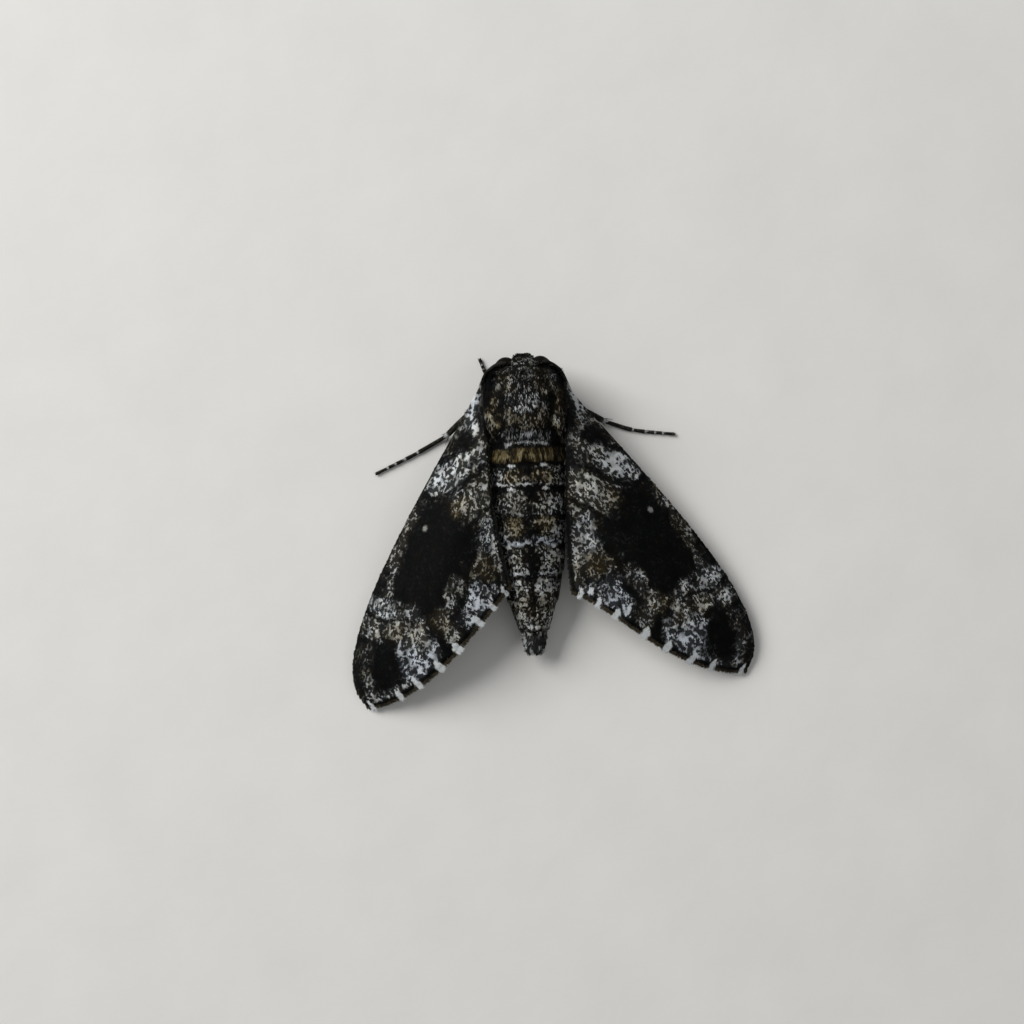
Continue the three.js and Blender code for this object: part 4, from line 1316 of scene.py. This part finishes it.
class MOTH_OT_legs(bpy.types.Operator):
    """Builds the six legs, with their scales, spurs and claws"""

    bl_idname = "moth.legs"
    bl_label = "Legs"

    def execute(self, context):
        horn = bpy.data.materials.get("moth_horn") or horn_material(context.scene.moth_colours)
        for number, ((name, leg), side) in enumerate(itertools.product(LEGS.items(), SIDES)):
            rng = np.random.default_rng(SEEDS["leg"] + number)
            skin = self.limb(context, name + "_skin_" + side, leg, side)
            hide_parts(*(f"{name}_{part}_{side}" for part in ("femur", "tibia", "tarsus")))
            self.horn_parts(name + "_claws_" + side, leg, side, horn)
            self.coat(context, name + "_scales_" + side, skin, leg, side, rng)
        return {"FINISHED"}

    @staticmethod
    def joints(leg, side):
        sign = np.array((SIDES[side], 1, 1))
        hip, knee, ankle = (np.array(point) * sign for point in (leg["hip"], leg["knee"], leg["ankle"][side]))
        root = hip * (0.45, 1, 1) + (0, 0.3, 1.2)
        return root, hip, knee, ankle

    def limb(self, context, name, leg, side):
        root, hip, knee, ankle = self.joints(leg, side)
        path = foot_path(leg, side)
        foot = tube(path, foot_radius(np.linspace(0, 1, len(path))), sides=12)
        parts = [
            leg_part(root, hip, FEMUR_RADIUS * 1.25, 0.8),
            leg_part(hip, knee, FEMUR_RADIUS, 0.6),
            leg_part(knee, ankle, TIBIA_RADIUS, 0.66),
            foot,
        ]
        ids = [np.full(len(part[0]), float(index)) for index, part in enumerate(parts)]
        points, faces, along, _, part = joined([(*p, i) for p, i in zip(parts, ids)])
        points[:, 2] = np.maximum(points[:, 2], 0.0)
        marks = self.marks(points, along, part)
        return build(name, points, faces, marks, skin_scales(context))

    @staticmethod
    def marks(points, along, part):
        """Dark legs with white rings at the joints."""
        foot = part > 2.5
        rings = np.zeros(len(points))
        for joint in TARSUS_JOINTS[1:-1]:
            rings = np.maximum(rings, 1 - smooth(0.01, 0.02, np.abs(along - joint + 0.004)))
        shin = (part > 1.5) & ~foot
        rings = np.where(foot, rings, np.where(shin, smooth(0.84, 0.9, along), 0.0))
        flecks = 0.30 * smooth(0.55, 0.85, noise(points, 0.45, 9))
        ground = np.where(foot, 0.5, 1.0) * flecks + 0.05
        return np.maximum(0.75 * rings, ground), np.full(len(points), 0.25) * (1 - rings)

    def coat(self, context, name, skin, leg, side, rng):
        points, normals, triangles = surface_of(skin)
        path = foot_path(leg, side)
        root, hip, knee, ankle = self.joints(leg, side)
        bones = ((root, hip), (hip, knee), (knee, ankle))
        share = np.linspace(0, 1, BONE_STEPS)[:, None]
        line_points = np.vstack([mix(start, end, share) for start, end in bones] + [path])
        part = np.concatenate([np.repeat([0.0, 1.0, 2.0], BONE_STEPS), np.full(len(path), 3.0)])
        along = np.concatenate([share[:, 0]] * len(bones) + [np.linspace(0, 1, len(path))])
        ahead = np.vstack([np.tile(unit(end - start), (BONE_STEPS, 1)) for start, end in bones]
                          + [unit(np.gradient(path, axis=0))])
        roots, outward = scatter(points, normals, triangles, DENSITY["leg"], rng)
        roots, outward = roots[roots[:, 2] > 0.05], outward[roots[:, 2] > 0.05]
        nearest = ((roots[:, None] - line_points[None]) ** 2).sum(2).argmin(1)
        part, along = part[nearest], along[nearest]
        length = np.choose(part.astype(int), LEG_SCALE_LENGTHS)
        leaves(name, roots, outward, ahead[nearest], length, np.where(part > 2.5, 0.12, 0.16),
               np.where(part > 2.5, 0.04, 0.1), self.marks(roots, along, part),
               self.unwrap(part, along, outward), scales(context), "leg_scales", rng)

    @staticmethod
    def unwrap(part, along, outward):
        """Each part of the leg is a strip: along it, and round it."""
        around = 0.5 + np.arctan2(outward[:, 2], outward[:, 1]) / (2 * math.pi)
        return np.stack([0.01 + 0.98 * along, (part + 0.04 + 0.92 * around) / 4], 1)

    def horn_parts(self, name, leg, side, material):
        """Two claws at the foot's tip, short spines under it and spurs on the shin."""
        path = foot_path(leg, side)
        _, _, knee, ankle = self.joints(leg, side)
        ahead = unit(path[-1] - path[-6])
        across = np.cross(ahead, (0, 0, 1.0))
        parts = []
        for sign in (-1, 1):
            claw = unit(ahead + across * sign * 0.55)
            parts.append(thorn(path[-2] + across * sign * 0.1 + (0, 0, 0.02), claw, 0.5, 0.07, 0.22))
        for place in leg["spurs"]:
            start = mix(knee, ankle, place)
            along = unit(ankle - knee)
            level = unit(np.cross(along, (0, 0, 1.0)))
            for sign in (-1, 1):
                spur = unit(along + level * sign * 0.35)
                parts.append(thorn(start + level * sign * 0.35, spur, 1.7 - 0.4 * sign, 0.12, 0.1))
        for joint in TARSUS_JOINTS[1:-1]:
            at = path[int(joint * (len(path) - 1))]
            for sign in (-1, 1):
                spine = unit(ahead + across * sign * 0.6)
                parts.append(thorn(at + across * sign * 0.18, spine, 0.3, 0.04, 0.08))
        points, faces, *_ = joined([part[:2] for part in parts])
        points[:, 2] = np.maximum(points[:, 2], 0.0)
        return build(name, points, faces, None, material)


# ------------------------------------------------------------------ stage
VIEW_CENTRE = (-3.0, -19.2)  # the spot under the camera, in the moth's frame
VIEW_HEIGHT = 220.0
VIEW_WIDTH = 184.3  # breadth of floor in the view
VIEW_ROLL = -2.5  # degrees
LAMPS = (  # name, direction from the moth, distance and size in metres, power in watts
    ("key", (-0.7, 0.5, 0.62), 1.1, 0.66, 13.5),
    ("fill", (0.7, -0.3, 1.0), 0.8, 0.7, 0.4),
)
SKY_LIGHT = ((0.95, 0.97, 1.0, 1.0), 0.27)  # colour and strength that light the moth
SKY_SEEN = ((0.86, 0.86, 0.84, 1.0), 0.7)  # colour and strength behind the floor
FLOOR_SIZE = 6.0  # metres


class MOTH_OT_stage(bpy.types.Operator):
    """Sets the floor, the lamps and the camera"""

    bl_idname = "moth.stage"
    bl_label = "Stage"

    def execute(self, context):
        scene = context.scene
        bpy.ops.mesh.primitive_plane_add(size=FLOOR_SIZE, location=(0, 0, 0))
        floor = context.active_object
        floor.name = "floor"
        floor.data.materials.append(floor_material(scene.moth_colours))
        middle = Vector(np.array([*VIEW_CENTRE, 0.0]) * MM + ORIGIN)
        for name, direction, distance, size, power in LAMPS:
            lamp = bpy.data.lights.new(name, "AREA")
            lamp.size = size
            lamp.energy = power
            holder = bpy.data.objects.new(name, lamp)
            holder.location = middle + Vector(direction).normalized() * distance
            holder.rotation_euler = (middle - holder.location).to_track_quat("-Z", "Y").to_euler()
            scene.collection.objects.link(holder)
        world = bpy.data.worlds.new("soft_sky")
        world.use_nodes = True
        nodes, links = world.node_tree.nodes, world.node_tree.links
        light, seen, rays, chosen = (nodes.new(kind) for kind in (
            "ShaderNodeBackground", "ShaderNodeBackground", "ShaderNodeLightPath", "ShaderNodeMixShader"))
        for node, (colour, strength) in ((light, SKY_LIGHT), (seen, SKY_SEEN)):
            node.inputs["Color"].default_value = colour
            node.inputs["Strength"].default_value = strength
        links.new(rays.outputs["Is Camera Ray"], chosen.inputs["Fac"])
        links.new(light.outputs["Background"], chosen.inputs[1])
        links.new(seen.outputs["Background"], chosen.inputs[2])
        links.new(chosen.outputs["Shader"], nodes["World Output"].inputs["Surface"])
        scene.world = world
        camera = bpy.data.cameras.new("camera")
        camera.angle = 2 * math.atan(VIEW_WIDTH / 2 / VIEW_HEIGHT)
        camera.clip_start = 0.001
        holder = bpy.data.objects.new("camera", camera)
        holder.location = middle + Vector((0, 0, VIEW_HEIGHT * MM))
        holder.rotation_euler = (0, 0, math.radians(VIEW_ROLL))
        scene.collection.objects.link(holder)
        scene.camera = holder
        scene.view_settings.view_transform = "Standard"
        return {"FINISHED"}


# ------------------------------------------------------------------ panel and run
BUILDERS = (
    MOTH_OT_forewings, MOTH_OT_hindwings, MOTH_OT_body, MOTH_OT_head_parts, MOTH_OT_legs, MOTH_OT_stage,
)


class MOTH_PT_panel(bpy.types.Panel):
    """Lists the moth's sizes, colours and builders"""

    bl_idname = "MOTH_PT_panel"
    bl_label = "Hawk Moth"
    bl_space_type = "VIEW_3D"
    bl_region_type = "UI"
    bl_category = "Moth"

    def draw(self, context):
        for group in (context.scene.moth_sizes, context.scene.moth_colours):
            box = self.layout.box()
            for name in group.__annotations__:
                box.prop(group, name)
        for builder in BUILDERS:
            self.layout.operator(builder.bl_idname)


CLASSES = (MothSizes, MothColours, *BUILDERS, MOTH_PT_panel)


def register():
    for item in CLASSES:
        bpy.utils.register_class(item)
    bpy.types.Scene.moth_sizes = PointerProperty(type=MothSizes)
    bpy.types.Scene.moth_colours = PointerProperty(type=MothColours)


def unregister():
    del bpy.types.Scene.moth_colours
    del bpy.types.Scene.moth_sizes
    for item in reversed(CLASSES):
        bpy.utils.unregister_class(item)


def main():
    register()
    for builder in BUILDERS:
        group, name = builder.bl_idname.split(".")
        getattr(getattr(bpy.ops, group), name)()


if __name__ == "__main__":
    main()
